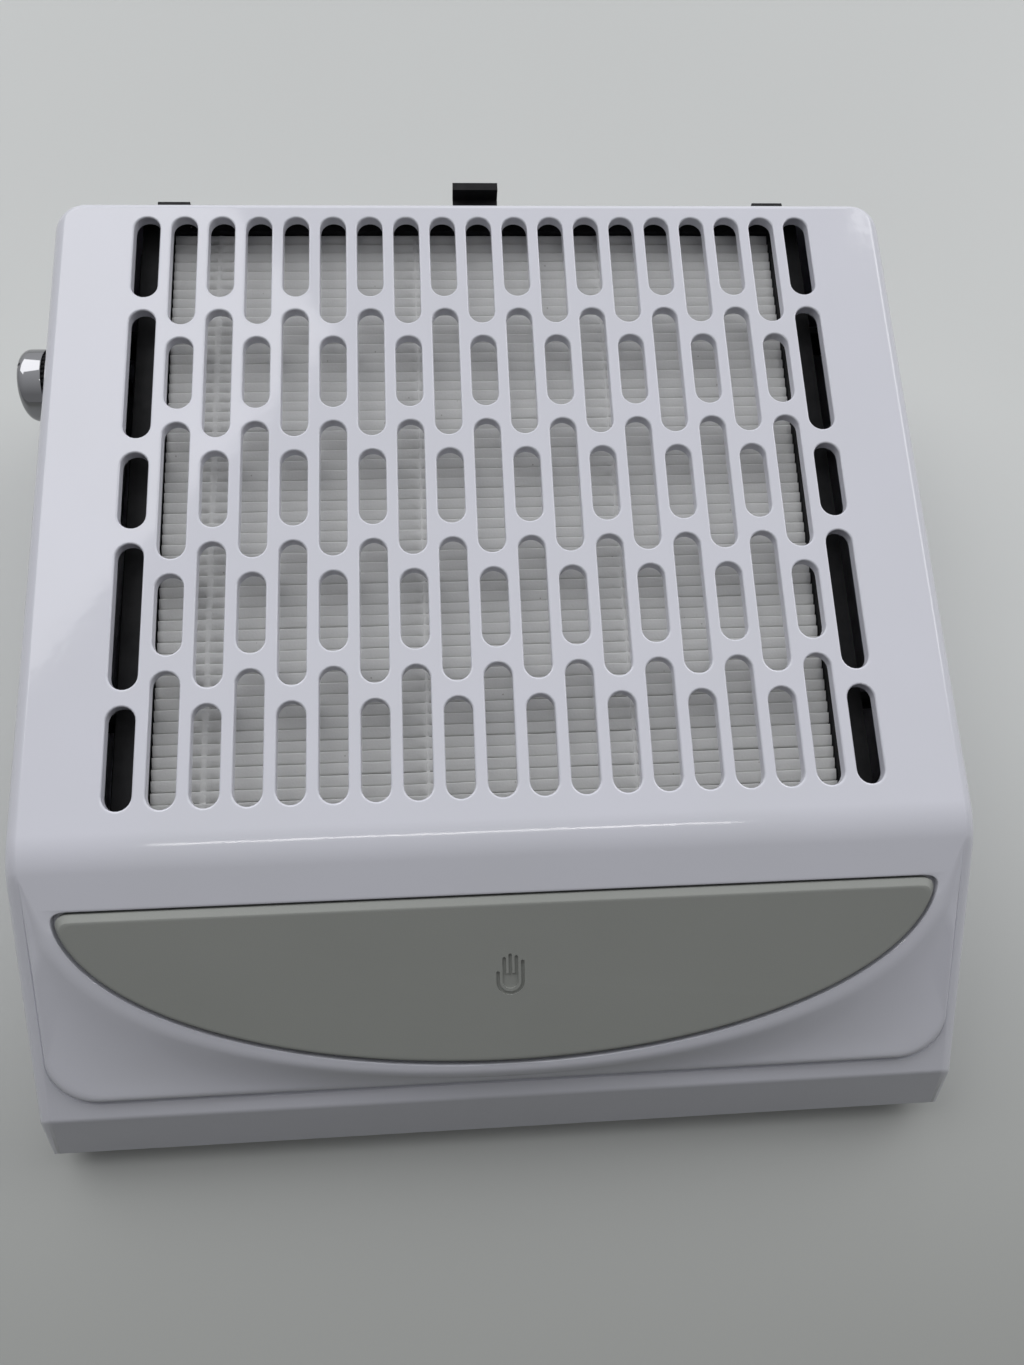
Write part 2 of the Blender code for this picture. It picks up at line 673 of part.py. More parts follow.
def pad_outline(grow, steps=28):
    """D-shaped outline on the rest plane, with its straight edge uphill."""
    arc = pad_arc(grow, steps)
    end, foot = arc[0]
    corner = max(PAD_CORNER + grow, 0.0005)
    top = foot - corner
    knee = end + corner * (end - arc[1][0]) / (arc[1][1] - foot)
    side = []
    for i in range(4):
        part = i / 4.0
        ahead = 1.0 - part
        x = ahead * ahead * (knee - corner) + 2.0 * ahead * part * knee + part * part * end
        side.append((x, top + part * part * corner))
    points = side + arc + [(-x, distance) for x, distance in reversed(side)]
    return [(x, -distance) for x, distance in points]


def layered(loops):
    """Closed solid through plan loops of equal count, given as (outline, height) from bottom to top."""
    shape = bmesh.new()
    rings = [[shape.verts.new((x, y, height)) for x, y in outline] for outline, height in loops]
    shape.faces.new(rings[0])
    shape.faces.new(rings[-1])
    for low, high in zip(rings, rings[1:]):
        for i in range(len(low)):
            j = (i + 1) % len(low)
            shape.faces.new((low[i], low[j], high[j], high[i]))
    return shape


def add_bosses(cover):
    """Screw bosses above the base pillars, each with a web to the side wall."""
    low = BASE_LIP_Z + GAP
    hole_top = SCREW_TIP + BOSS_ROOM
    high = hole_top + BOSS_ROOF
    for hand, side in (("left", -1.0), ("right", 1.0)):
        for end, y in zip(("front", "rear"), SCREW_Y):
            x = side * SCREW_X
            name = "boss_" + end + "_" + hand
            wall = side * (CASE_HALF_WIDTH - CASE_WALL / 2.0)
            web = box((min(x, wall), y - BOSS_WEB / 2.0, low), (max(x, wall), y + BOSS_WEB / 2.0, hole_top))
            join(cover, web, name + "_web")
            join(cover, rod(BOSS_RADIUS, low, high, 12, x, y), name)
            cut(cover, rod(SCREW_SHANK + GAP, low - 0.001, hole_top, 10, x, y), name + "_hole")


def build_cover(case, grille, rest, white):
    cover = make_object("top_cover", outer_case(), white, case)
    cut(cover, inner_case(), "hollow")
    cut(cover, intake_slots(), "slots", grille)
    cut(cover, prism(pad_outline(PAD_GAP), -PAD_POCKET, 0.01), "pocket", rest)
    wide = CASSETTE_HALF_WIDTH + CASSETTE_CLEARANCE
    low = CASSETTE_LOW - CASSETTE_CLEARANCE
    high = CASSETTE_TOP + CASSETTE_CLEARANCE
    inside = tilted_y(CASE_BACK_Y - CASE_WALL, low) - 0.001
    cut(cover, box((-wide, inside, low), (wide, CASE_BACK_Y + 0.01, high)), "cassette_mouth", grille)
    duct = duct_span()
    rear = (CASE_BACK_Y - CASE_WALL - 0.001, CASE_BACK_Y + 0.001)
    cut(cover, box((duct[0], rear[0], SCROLL_FLOOR), (duct[1], rear[1], SCROLL_TOP)), "outlet")
    jack_hole = rod(JACK_RADIUS + GAP, -0.02, 0.02)
    cut(cover, jack_hole, "jack_hole", None, JACK_PLACE, (math.radians(90.0), 0.0, 0.0))
    knob_hole = rod(POT_BUSH + GAP, -0.01, 0.01)
    sideways = (0.0, math.radians(90.0), 0.0)
    cut(cover, knob_hole, "knob_hole", None, (-CASE_HALF_WIDTH, KNOB_Y, KNOB_Z), sideways)
    add_bosses(cover)
    even_shading(cover)


def build_pad(rest, grey):
    low = -PAD_POCKET + GAP
    loops = [(pad_outline(0.0), low), (pad_outline(0.0), -0.0004)]
    for part in (0.35, 1.0):
        rise = PAD_RISE * math.sin(part * math.pi / 2.0)
        loops.append((pad_outline(-PAD_BEVEL * part), rise))
    make_object("hand_rest_pad", layered(loops), grey, rest)


def media_back():
    """Rear end of the pleats, close inside the rear wall."""
    return tilted_y(CASE_BACK_Y - CASE_WALL, CASSETTE_LOW) - MEDIA_REAR_ROOM


def zigzag_media():
    """Pleated sheet in side view: ridges and valleys along the cassette."""
    depth = media_back() - MEDIA_FRONT
    count = round(depth / PLEAT_PITCH)
    pitch = depth / count
    top = CASSETTE_TOP - MEDIA_DROP
    valley = CASSETTE_LOW + CASSETTE_LIP + GAP + PLEAT_SHEET
    upper = []
    for i in range(2 * count + 1):
        height = top if i % 2 else valley
        upper.append((MEDIA_FRONT + pitch * i / 2.0, height))
    lower = [(y, z - PLEAT_SHEET) for y, z in reversed(upper)]
    return upper + lower


def tab_end():
    """Far end of the pull tab along the grille."""
    root = tilted_y(CASE_BACK_Y + GAP + FLANGE_THICKNESS / 2.0, FLANGE_TOP)
    return root + FLANGE_THICKNESS / 2.0 + TAB_LENGTH


def build_cassette(slide, black, paper, glue):
    low = CASSETTE_LOW
    rear_face = CASE_BACK_Y + GAP
    back = tilted_y(rear_face, CASSETTE_TOP) + FLANGE_THICKNESS / 2.0
    wide = CASSETTE_HALF_WIDTH
    block = box((-wide, CASSETTE_FRONT, low), (wide, back, CASSETTE_TOP))
    frame = make_object("filter_frame", block, black, slide)
    media_wide = MEDIA_HALF_WIDTH
    window = box((-media_wide, MEDIA_FRONT - GAP, low + CASSETTE_LIP),
                 (media_wide, media_back() + GAP, CASSETTE_TOP + 0.01))
    cut(frame, window, "window")
    ledge = CASSETTE_LIP
    through = box((-media_wide + ledge, MEDIA_FRONT + ledge, low - 0.01),
                  (media_wide - ledge, media_back() - ledge, CASSETTE_TOP))
    cut(frame, through, "through")
    plate_top = FLANGE_TOP
    plate_low = low - CASSETTE_CLEARANCE - FLANGE_OVERLAP
    plate = [(tilted_y(rear_face, plate_low), plate_low), (tilted_y(rear_face, plate_top), plate_top),
             (tilted_y(rear_face + FLANGE_THICKNESS, plate_top), plate_top),
             (tilted_y(rear_face + FLANGE_THICKNESS, plate_low), plate_low)]
    plate_wide = wide + CASSETTE_CLEARANCE + FLANGE_OVERLAP
    join(frame, side_profile(plate, -plate_wide, plate_wide), "flange")
    ear_top = plate_top + EAR_HEIGHT
    ear = [(tilted_y(rear_face, plate_top) + 0.0001, plate_top - 0.001),
           (tilted_y(rear_face, ear_top) + 0.0001, ear_top),
           (tilted_y(rear_face + FLANGE_THICKNESS, ear_top) - 0.0001, ear_top),
           (tilted_y(rear_face + FLANGE_THICKNESS, plate_top) - 0.0001, plate_top - 0.001)]
    for side in (-1.0, 1.0):
        middle = side * (wide - EAR_INSET)
        name = "ear_left" if side < 0.0 else "ear_right"
        join(frame, side_profile(ear, middle - EAR_WIDTH / 2.0, middle + EAR_WIDTH / 2.0), name)
    end = tab_end()
    root = end - TAB_LENGTH - FLANGE_THICKNESS / 2.0
    tab_top = plate_top - TAB_DROP
    tab = [(root, tab_top - TAB_THICKNESS), (root, tab_top), (end - TAB_LIP_THICKNESS, tab_top),
           (end - TAB_LIP_THICKNESS, tab_top + TAB_LIP), (end, tab_top + TAB_LIP),
           (end, tab_top - TAB_THICKNESS)]
    join(frame, side_profile(tab, -TAB_WIDTH / 2.0, TAB_WIDTH / 2.0), "pull_tab")
    sheet = side_profile(zigzag_media(), -media_wide + GAP, media_wide - GAP)
    make_object("filter_media", sheet, paper, slide)
    bead_low = CASSETTE_TOP - MEDIA_DROP + GAP
    for i in range(BEAD_COUNT):
        x = -media_wide + BEAD_FIRST + BEAD_PITCH * i
        bead = box((x - BEAD_WIDTH / 2.0, MEDIA_FRONT + 0.001, bead_low),
                   (x + BEAD_WIDTH / 2.0, media_back() - 0.001, bead_low + BEAD_HEIGHT))
        make_object("filter_bead_" + str(i + 1), bead, glue, slide)


def build_rails(grille, black):
    """Angle rails beside the cassette, held off the case walls by ribs, and the stop at their front."""
    shelf = RAIL_LOW + RAIL_THICKNESS
    high = RAIL_LOW + RAIL_HEIGHT
    back = tilted_y(CASE_BACK_Y - CASE_WALL, RAIL_LOW) - RAIL_END_ROOM
    wall = CASE_HALF_WIDTH - CASE_WALL - GAP
    outline = [(RAIL_INSIDE - RAIL_FLANGE, RAIL_LOW), (RAIL_OUTSIDE, RAIL_LOW), (RAIL_OUTSIDE, high),
               (RAIL_INSIDE, high), (RAIL_INSIDE, shelf), (RAIL_INSIDE - RAIL_FLANGE, shelf)]
    ribs = (CASSETTE_FRONT + RAIL_RIB_ENDS[0], back - RAIL_RIB_ENDS[1])
    for name, side in (("filter_rail_left", -1.0), ("filter_rail_right", 1.0)):
        shape = bmesh.new()
        near = [shape.verts.new((side * x, CASSETTE_FRONT, z)) for x, z in outline]
        far = [shape.verts.new((side * x, back, z)) for x, z in outline]
        shape.faces.new(near)
        shape.faces.new(far)
        for i in range(len(outline)):
            j = (i + 1) % len(outline)
            shape.faces.new((near[i], near[j], far[j], far[i]))
        rail = make_object(name, shape, black, grille)
        ends = sorted((side * (RAIL_OUTSIDE - RAIL_WEB / 2.0), side * wall))
        for i, y in enumerate(ribs):
            half = RAIL_RIB / 2.0
            rib = box((ends[0], y - half, RAIL_LOW + 0.0005), (ends[1], y + half, high - 0.0005))
            join(rail, rib, "rib_" + str(i + 1))
    stop_back = CASSETTE_FRONT - GAP
    stop = box((-RAIL_OUTSIDE, stop_back - RAIL_WEB, RAIL_LOW), (RAIL_OUTSIDE, stop_back, high))
    make_object("filter_stop", stop, black, grille)


def base_outline(inset):
    half_width = CASE_HALF_WIDTH - CASE_WALL - GAP - inset
    back = CASE_BACK_Y - CASE_WALL - GAP - inset
    corner = CASE_CORNER_RADIUS - CASE_WALL - GAP - inset
    lip_room = CASE_EDGE_RADIUS - CASE_WALL + GAP
    front = max(skirt_inside(BASE_LIP_Z), apron_inside(BASE_LIP_Z + lip_room)) + GAP + inset
    path = case_path(half_width, back, corner, [front])
    return [(x, y) for x, y, nx, ny in path]


def board_corners():
    depths = (BOARD_Y[0] + BOARD_MARGIN, BOARD_Y[1] - BOARD_MARGIN)
    return [(side * (BOARD_HALF_WIDTH - BOARD_MARGIN), y) for side in (-1.0, 1.0) for y in depths]


def base_posts():
    """Pillars and posts that stand on the tray floor, rooted a little into it."""
    posts = bmesh.new()
    root = BASE_TOP - BASE_FLOOR / 2.0
    for side in (-1.0, 1.0):
        for y in SCREW_Y:
            add_rod(posts, PILLAR_RADIUS, root, BASE_LIP_Z, 16, side * SCREW_X, y)
    for i in range(3):
        turn = math.radians(100.0 + 120.0 * i)
        x = FAN_X + BLOWER_POST_CIRCLE * math.cos(turn)
        y = FAN_Y + BLOWER_POST_CIRCLE * math.sin(turn)
        add_rod(posts, BLOWER_POST_RADIUS, root, SCROLL_Z - GAP, 12, x, y)
    for x, y in board_corners():
        add_rod(posts, BOARD_POST_RADIUS, root, BOARD_Z - GAP, 10, x, y)
    return posts


def base_holes():
    """Stepped screw holes through the pillars, and peg holes for the feet."""
    holes = bmesh.new()
    low = BASE_FLOOR_Z - 0.001
    head_top = BASE_LIP_Z - SCREW_ROOF
    head = SCREW_HEAD + GAP
    shank = SCREW_SHANK + GAP
    for side in (-1.0, 1.0):
        for y in SCREW_Y:
            add_turned(holes, ((0.0, low), (head, low), (head, head_top), (shank, head_top),
                               (shank, BASE_LIP_Z + 0.001), (0.0, BASE_LIP_Z + 0.001)), 12, side * SCREW_X, y)
        for y in FOOT_Y:
            add_rod(holes, FOOT_PEG_RADIUS + GAP, low, BASE_TOP + 0.001, 12, side * FOOT_X, y)
    return holes


def build_base(case, white):
    base = make_object("base_pan", prism(base_outline(0.0), BASE_FLOOR_Z, BASE_LIP_Z), white, case)
    cut(base, prism(base_outline(BASE_WALL), BASE_TOP, BASE_LIP_Z + 0.01), "tray")
    join(base, base_posts(), "posts")
    cut(base, base_holes(), "holes")
    duct = duct_span()
    room = SCROLL_WALL + GAP
    notch = box((duct[0] - room, CASE_BACK_Y - 4.0 * BASE_WALL, SCROLL_Z - GAP),
                (duct[1] + room, CASE_BACK_Y, BASE_LIP_Z + 0.01))
    cut(base, notch, "duct_notch")


def build_feet_and_screws(case, rubber, steel):
    seat = BASE_FLOOR_Z - GAP
    peg = BASE_TOP
    foot_profile = ((0.0, 0.0), (FOOT_RADIUS - FOOT_ROUND, 0.0), (FOOT_RADIUS, FOOT_ROUND),
                    (FOOT_RADIUS, seat),
                    (FOOT_PEG_RADIUS, seat), (FOOT_PEG_RADIUS, peg), (0.0, peg))
    head_top = SCREW_HEAD_TOP
    head_low = head_top - SCREW_HEAD_HEIGHT
    screw_profile = ((0.0, head_low), (SCREW_HEAD - 0.0008, head_low), (SCREW_HEAD, head_low + 0.0008),
                     (SCREW_HEAD, head_top), (SCREW_SHANK, head_top), (SCREW_SHANK, SCREW_TIP - SCREW_POINT),
                     (0.0, SCREW_TIP))
    for row, end in enumerate(("front", "rear")):
        for hand, side in (("left", -1.0), ("right", 1.0)):
            foot_place = (side * FOOT_X, FOOT_Y[row], 0.0)
            screw_place = (side * SCREW_X, SCREW_Y[row], 0.0)
            make_object("rubber_foot_" + end + "_" + hand, turned(foot_profile, 16), rubber, case, foot_place)
            make_object("case_screw_" + end + "_" + hand, turned(screw_profile, 12), steel, case, screw_place)


def scroll_outline(grow, duct_end):
    """Volute and its straight duct in plan, widened outwards by grow."""
    points = []
    sweep = 2.0 * math.pi - SCROLL_TONGUE
    for i in range(SCROLL_STEPS + 1):
        turn = SCROLL_TONGUE + sweep * i / SCROLL_STEPS
        radius = SCROLL_START + SCROLL_GROWTH * i / SCROLL_STEPS + grow
        points.append((FAN_X + radius * math.cos(turn), FAN_Y + radius * math.sin(turn)))
    inner_x, outer_x = duct_span()
    points.append((outer_x + grow, duct_end))
    points.append((inner_x - grow, duct_end))
    tongue_y = FAN_Y + (SCROLL_START + grow) * math.sin(SCROLL_TONGUE) + 2.0 * grow
    if grow > 0.0:
        points[0] = (inner_x - grow, tongue_y)
    return points


def duct_span():
    """Inside faces of the outlet duct across X."""
    return (FAN_X + SCROLL_START * math.cos(SCROLL_TONGUE), FAN_X + SCROLL_START + SCROLL_GROWTH)


def build_blower(case, dark, black):
    duct_end = CASE_BACK_Y - CASE_WALL - GAP
    outline = scroll_outline(SCROLL_WALL, duct_end)
    housing = make_object("blower_housing", prism(outline, SCROLL_Z, SCROLL_TOP), dark, case)
    cut(housing, prism(scroll_outline(0.0, duct_end + 0.01), SCROLL_FLOOR, SCROLL_TOP + 0.01), "volute")
    holes = bmesh.new()
    for x, y in motor_screw_places():
        radius = MOTOR_SCREW_RADIUS + GAP
        add_rod(holes, radius, SCROLL_Z - 0.001, SCROLL_FLOOR + 0.001, 10, FAN_X + x, FAN_Y + y)
    cut(housing, holes, "screw_holes")
    lid = make_object("blower_lid", prism(outline, LID_Z, LID_Z + LID_THICKNESS), dark, case)
    cut(lid, rod(INLET_RADIUS, LID_Z - 0.01, LID_Z + 0.02, 32, FAN_X, FAN_Y), "inlet")
    build_guard(case, black)


def build_guard(case, black):
    """Open guard over the blower inlet: a rim, crossed spokes and rings."""
    place = (FAN_X, FAN_Y, 0.0)
    high = GUARD_Z + GUARD_BAR
    half = GUARD_BAR / 2.0
    rim = tube(INLET_RADIUS, INLET_RADIUS + GUARD_RIM, GUARD_Z, high, 28)
    guard = make_object("fan_guard", rim, black, case, place)
    reach = INLET_RADIUS + GUARD_RIM / 4.0
    for i in range(2):
        spoke = box((-reach, -half, GUARD_Z + 0.0002), (reach, half, high - 0.0002))
        join(guard, spoke, "spoke_" + str(i), None, place, (0.0, 0.0, math.radians(45.0 + 90.0 * i)))
    for i, radius in enumerate(GUARD_RINGS):
        ring = tube(radius - half, radius + half, GUARD_Z + 0.0004, high - 0.0004, 20)
        join(guard, ring, "ring_" + str(i), None, place)


def blade_outline():
    """One forward-curved blade in plan, from the inner to the outer edge."""
    steps = 3
    outer_face = []
    inner_face = []
    for i in range(steps + 1):
        part = i / steps
        radius = BLADE_INNER_RADIUS + (IMPELLER_RADIUS - 0.0004 - BLADE_INNER_RADIUS) * part
        turn = BLADE_SWEEP * part * part
        half = BLADE_THICKNESS / 2.0 / radius
        outer_face.append((radius * math.cos(turn + half), radius * math.sin(turn + half)))
        inner_face.append((radius * math.cos(turn - half), radius * math.sin(turn - half)))
    return inner_face + list(reversed(outer_face))


def build_impeller(fan, grey):
    """Blade wheel with a dome over the motor."""
    disc_top = IMPELLER_Z + IMPELLER_DISC
    bore = SHAFT_RADIUS + GAP
    inside = DOME_RADIUS - IMPELLER_DISC
    roof = DOME_TOP - IMPELLER_DISC
    profile = ((IMPELLER_RADIUS, IMPELLER_Z), (IMPELLER_RADIUS, disc_top), (DOME_RADIUS, disc_top),
               (DOME_RADIUS, DOME_TOP - DOME_ROUND), (DOME_RADIUS - DOME_ROUND, DOME_TOP), (bore, DOME_TOP),
               (bore, roof), (inside - DOME_ROUND / 2.0, roof), (inside, roof - DOME_ROUND / 2.0),
               (inside, IMPELLER_Z))
    impeller = make_object("impeller", turned(profile, 32), grey, fan)
    rim_low = IMPELLER_TOP - IMPELLER_RIM_HEIGHT
    blades = bmesh.new()
    outline = blade_outline()
    for i in range(BLADE_COUNT):
        turn = 2.0 * math.pi * i / BLADE_COUNT
        c = math.cos(turn)
        s = math.sin(turn)
        spun = [(x * c - y * s, x * s + y * c) for x, y in outline]
        add_prism(blades, spun, disc_top - IMPELLER_DISC / 2.0, rim_low + IMPELLER_RIM_HEIGHT / 2.0)
    join(impeller, blades, "blades")
    join(impeller, tube(IMPELLER_RADIUS - IMPELLER_RIM, IMPELLER_RADIUS, rim_low, IMPELLER_TOP, 32), "rim")


def motor_screw_places():
    turns = [math.radians(30.0 + 120.0 * i) for i in range(3)]
    return [(MOTOR_SCREW_CIRCLE * math.cos(turn), MOTOR_SCREW_CIRCLE * math.sin(turn)) for turn in turns]


def build_motor(case, fan, steel, dark, copper):
    bore = BEARING_RADIUS + GAP
    floor = MOTOR_Z + MOTOR_PLATE
    centre = (FAN_X, FAN_Y, 0.0)
    profile = ((bore, MOTOR_Z), (MOTOR_RADIUS, MOTOR_Z), (MOTOR_RADIUS, MOTOR_TOP), (MOTOR_INSIDE, MOTOR_TOP),
               (MOTOR_INSIDE, floor), (bore, floor))
    can = make_object("motor_can", turned(profile, 28), steel, case, centre)
    holes = bmesh.new()
    tip = MOTOR_Z + MOTOR_SCREW_BITE
    for x, y in motor_screw_places():
        add_rod(holes, MOTOR_SCREW_RADIUS + GAP, MOTOR_Z - 0.001, tip + GAP, 10, x, y)
    cut(can, holes, "screw_holes", None, centre)
    plate_low = MOTOR_TOP - MOTOR_PLATE
    plate = tube(bore, MOTOR_INSIDE - GAP, plate_low, MOTOR_TOP, 28)
    make_object("motor_end_plate", plate, steel, case, centre)
    slack = (MOTOR_PLATE - BEARING_HEIGHT) / 2.0
    race = SHAFT_RADIUS + GAP
    for name, start in (("bearing_lower", MOTOR_Z + slack), ("bearing_upper", plate_low + slack)):
        make_object(name, tube(race, BEARING_RADIUS, start, start + BEARING_HEIGHT), steel, case, centre)
    rotor = tube(race, MOTOR_INSIDE - ROTOR_AIR_GAP, floor + ROTOR_CLEARANCE, plate_low - ROTOR_CLEARANCE, 24)
    make_object("motor_rotor", rotor, copper, fan)
    make_object("motor_shaft", rod(SHAFT_RADIUS, MOTOR_Z + GAP, DOME_TOP + SHAFT_END), steel, fan)
    head_high = SCROLL_Z - GAP
    head_low = head_high - MOTOR_SCREW_HEAD_HEIGHT
    screw_profile = ((0.0, head_low), (MOTOR_SCREW_HEAD, head_low), (MOTOR_SCREW_HEAD, head_high),
                     (MOTOR_SCREW_RADIUS, head_high), (MOTOR_SCREW_RADIUS, tip), (0.0, tip))
    for i, (x, y) in enumerate(motor_screw_places()):
        place = (FAN_X + x, FAN_Y + y, 0.0)
        make_object("motor_screw_" + str(i + 1), turned(screw_profile, 10), dark, case, place)


def build_louver(case, dark):
    """Outlet panel behind the duct: a flange outside the rear wall and upright bars in the opening."""
    duct = duct_span()
    low = SCROLL_FLOOR
    high = SCROLL_TOP
    face = CASE_BACK_Y + GAP
    plate = box((duct[0] - LOUVER_FLANGE, face, low - LOUVER_FLANGE),
                (duct[1] + LOUVER_FLANGE, face + LOUVER_PLATE, high + LOUVER_FLANGE))
    louver = make_object("exhaust_louver", plate, dark, case)
    spigot = box((duct[0] + GAP, CASE_BACK_Y - CASE_WALL, low + GAP),
                 (duct[1] - GAP, face + LOUVER_PLATE / 2.0, high - GAP))
    join(louver, spigot, "spigot")
    gaps = bmesh.new()
    left = duct[0] + LOUVER_MARGIN
    pitch = (duct[1] - duct[0] - 2.0 * LOUVER_MARGIN + LOUVER_BAR) / LOUVER_BARS
    for i in range(LOUVER_BARS):
        start = left + pitch * i
        add_box(gaps, (start, CASE_BACK_Y - 0.02, low + LOUVER_MARGIN),
                (start + pitch - LOUVER_BAR, CASE_BACK_Y + 0.02, high - LOUVER_MARGIN))
    cut(louver, gaps, "gaps")


def build_jack(case, black, steel):
    """The jack frame has its Z axis pointing out of the rear wall, from the wall's outer face."""
    place = JACK_PLACE
    turn = (math.radians(-90.0), 0.0, 0.0)
    flange = JACK_RADIUS + JACK_FLANGE_RIM
    back = -JACK_DEPTH
    floor = back + JACK_END
    tip = floor + JACK_PIN_LENGTH
    profile = ((0.0, back), (JACK_RADIUS, back), (JACK_RADIUS, GAP), (flange, GAP), (flange, JACK_LIP),
               (JACK_BORE, JACK_LIP), (JACK_BORE, floor), (JACK_PIN, floor), (JACK_PIN, tip), (0.0, tip))
    make_object("dc_jack", turned(profile), black, case, place, turn)
    face = -CASE_WALL - GAP
    hexagon = prism(circle(JACK_NUT_RADIUS, 6), face - JACK_NUT_HEIGHT, face)
    nut = make_object("jack_nut", hexagon, steel, case, place, turn)
    cut(nut, rod(JACK_RADIUS + GAP, -0.02, 0.02), "thread", None, place, turn)


def build_board(case, green, dark):
    top = BOARD_Z + BOARD_THICKNESS
    shape = box((-BOARD_HALF_WIDTH, BOARD_Y[0], BOARD_Z), (BOARD_HALF_WIDTH, BOARD_Y[1], top))
    make_object("control_board", shape, green, case)
    seat = top + GAP
    crown = seat + CAPACITOR_HEIGHT
    profile = ((0.0, seat), (CAPACITOR_RADIUS, seat), (CAPACITOR_RADIUS, crown - 0.0005),
               (CAPACITOR_RADIUS - 0.0005, crown), (0.0, crown))
    middle = (BOARD_Y[0] + BOARD_Y[1]) / 2.0
    x, y = CAPACITOR_PLACE
    make_object("board_capacitor", turned(profile, 16), dark, case, (x, middle + y, 0.0))
    wide, deep, high = TERMINAL_SIZE
    terminal = box((-wide / 2.0, -deep / 2.0, seat), (wide / 2.0, deep / 2.0, seat + high))
    x, y = TERMINAL_PLACE
    make_object("board_terminal", terminal, dark, case, (x, middle + y, 0.0))


def build_knob(axis, chrome, black, steel):
    """The knob axis frame has its Z axis pointing out of the left wall, from the wall's outer face."""
    low = KNOB_STANDOFF
    high = low + KNOB_GRIP
    recess = POT_BUSH_LENGTH + KNOB_BUSH_ROOM
    wide = POT_NUT_RADIUS + KNOB_NUT_ROOM
    bore = POT_SHAFT + GAP
    grip = ((bore, recess), (wide, recess), (wide, low), (KNOB_GRIP_RADIUS, low), (KNOB_GRIP_RADIUS, high),
            (bore, high))
    make_object("knob_grip", turned(grip, 32), black, axis)
    cap_low = high + GAP
    cap_high = cap_low + KNOB_CAP
    cap = [(0.0, cap_low), (KNOB_RADIUS, cap_low)]
    for i in range(5):
        turn = math.radians(90.0) * i / 4
        radius = KNOB_RADIUS - KNOB_ROUND * (1.0 - math.cos(turn))
        cap.append((radius, cap_high - KNOB_ROUND * (1.0 - math.sin(turn))))
    cap.append((0.0, cap_high))
    make_object("speed_knob", turned(cap, 32), chrome, axis)
    make_object("potentiometer_shaft", rod(POT_SHAFT, -CASE_WALL, cap_low - GAP, 16), steel, axis)


def build_potentiometer(place, steel):
    """Body behind the left wall, with its sleeve through the wall and a nut outside."""
    high = -CASE_WALL - GAP
    low = high - POT_DEPTH
    bore = POT_SHAFT + GAP
    floor = -CASE_WALL - GAP
    body = ((0.0, low), (POT_RADIUS, low), (POT_RADIUS, high), (POT_BUSH, high), (POT_BUSH, POT_BUSH_LENGTH),
            (bore, POT_BUSH_LENGTH), (bore, floor), (0.0, floor))
    make_object("potentiometer_body", turned(body, 24), steel, place)
    hexagon = prism(circle(POT_NUT_RADIUS, 6), GAP, GAP + POT_NUT_HEIGHT)
    nut = make_object("potentiometer_nut", hexagon, steel, place)
    cut(nut, rod(POT_BUSH + GAP, -0.01, 0.02, 24), "thread")


def main():
    clear_scene()
    white = make_material("gloss_white_case", (0.80, 0.80, 0.83), 0.30)
    grey = make_material("grey_rest", (0.30, 0.31, 0.30), 0.65)
    black = make_material("black_frame", (0.015, 0.015, 0.017), 0.45)
    paper = make_material("filter_paper", (0.52, 0.52, 0.53), 0.90)
    glue = make_material("clear_glue", (0.62, 0.62, 0.60), 0.35)
    chrome = make_material("chrome_cap", (0.85, 0.85, 0.86), 0.08, 1.0)
    steel = make_material("plain_steel", (0.55, 0.55, 0.56), 0.35, 1.0)
    dark = make_material("dark_plastic", (0.05, 0.05, 0.055), 0.50)
    rubber = make_material("black_rubber", (0.02, 0.02, 0.02), 0.85)
    green = make_material("board_green", (0.03, 0.16, 0.07), 0.45)
    copper = make_material("rotor_copper", (0.45, 0.24, 0.14), 0.40, 1.0)
    fan_grey = make_material("fan_grey", (0.10, 0.10, 0.11), 0.50)

    tab_low = FLANGE_TOP - TAB_DROP - TAB_THICKNESS
    back_reach = tab_end() * math.cos(GRILLE_TILT) - tab_low * math.sin(GRILLE_TILT)
    middle = Vector((KNOB_REACH / 2.0, -(SKIRT_FOOT[0] + back_reach) / 2.0, 0.0))
    case = make_empty("case_datum", middle)
    grille = make_empty("grille_datum", (0.0, 0.0, GRILLE_MID_Z), (GRILLE_TILT, 0.0, 0.0), case)
    rest = make_empty("rest_datum", (0.0, BEND_Y, BEND_Z), (REST_ANGLE, 0.0, 0.0), case)
    slide = make_empty("cassette_slide", (0.0, 0.0, 0.0), (0.0, 0.0, 0.0), grille)
    fan = make_empty("fan_axis", (FAN_X, FAN_Y, 0.0), (0.0, 0.0, 0.0), case)
    knob_place = (-CASE_HALF_WIDTH, KNOB_Y, KNOB_Z)
    outward = (0.0, math.radians(-90.0), 0.0)
    knob = make_empty("knob_axis", knob_place, outward, case)
    wall = make_empty("knob_wall_datum", knob_place, outward, case)

    build_cover(case, grille, rest, white)
    build_pad(rest, grey)
    build_cassette(slide, black, paper, glue)
    build_rails(grille, black)
    build_base(case, white)
    build_feet_and_screws(case, rubber, steel)
    build_blower(case, dark, black)
    build_impeller(fan, fan_grey)
    build_motor(case, fan, steel, dark, copper)
    build_louver(case, dark)
    build_jack(case, black, steel)
    build_board(case, green, dark)
    build_knob(knob, chrome, black, steel)
    build_potentiometer(wall, steel)


main()
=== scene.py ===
# %% [markdown]
# # Nail dust collector
# A desk-top dust extractor for nail work. Dust falls through a slotted grille on to a pleated filter
# cassette, and a blower below pulls the air out of the rear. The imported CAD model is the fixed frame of
# this lesson: each cell adds one visible piece or one finish around it, in metres, with the front at -Y.

# %% Load the frame
import math

import bmesh
import bpy
from mathutils import Matrix, Vector, geometry, noise


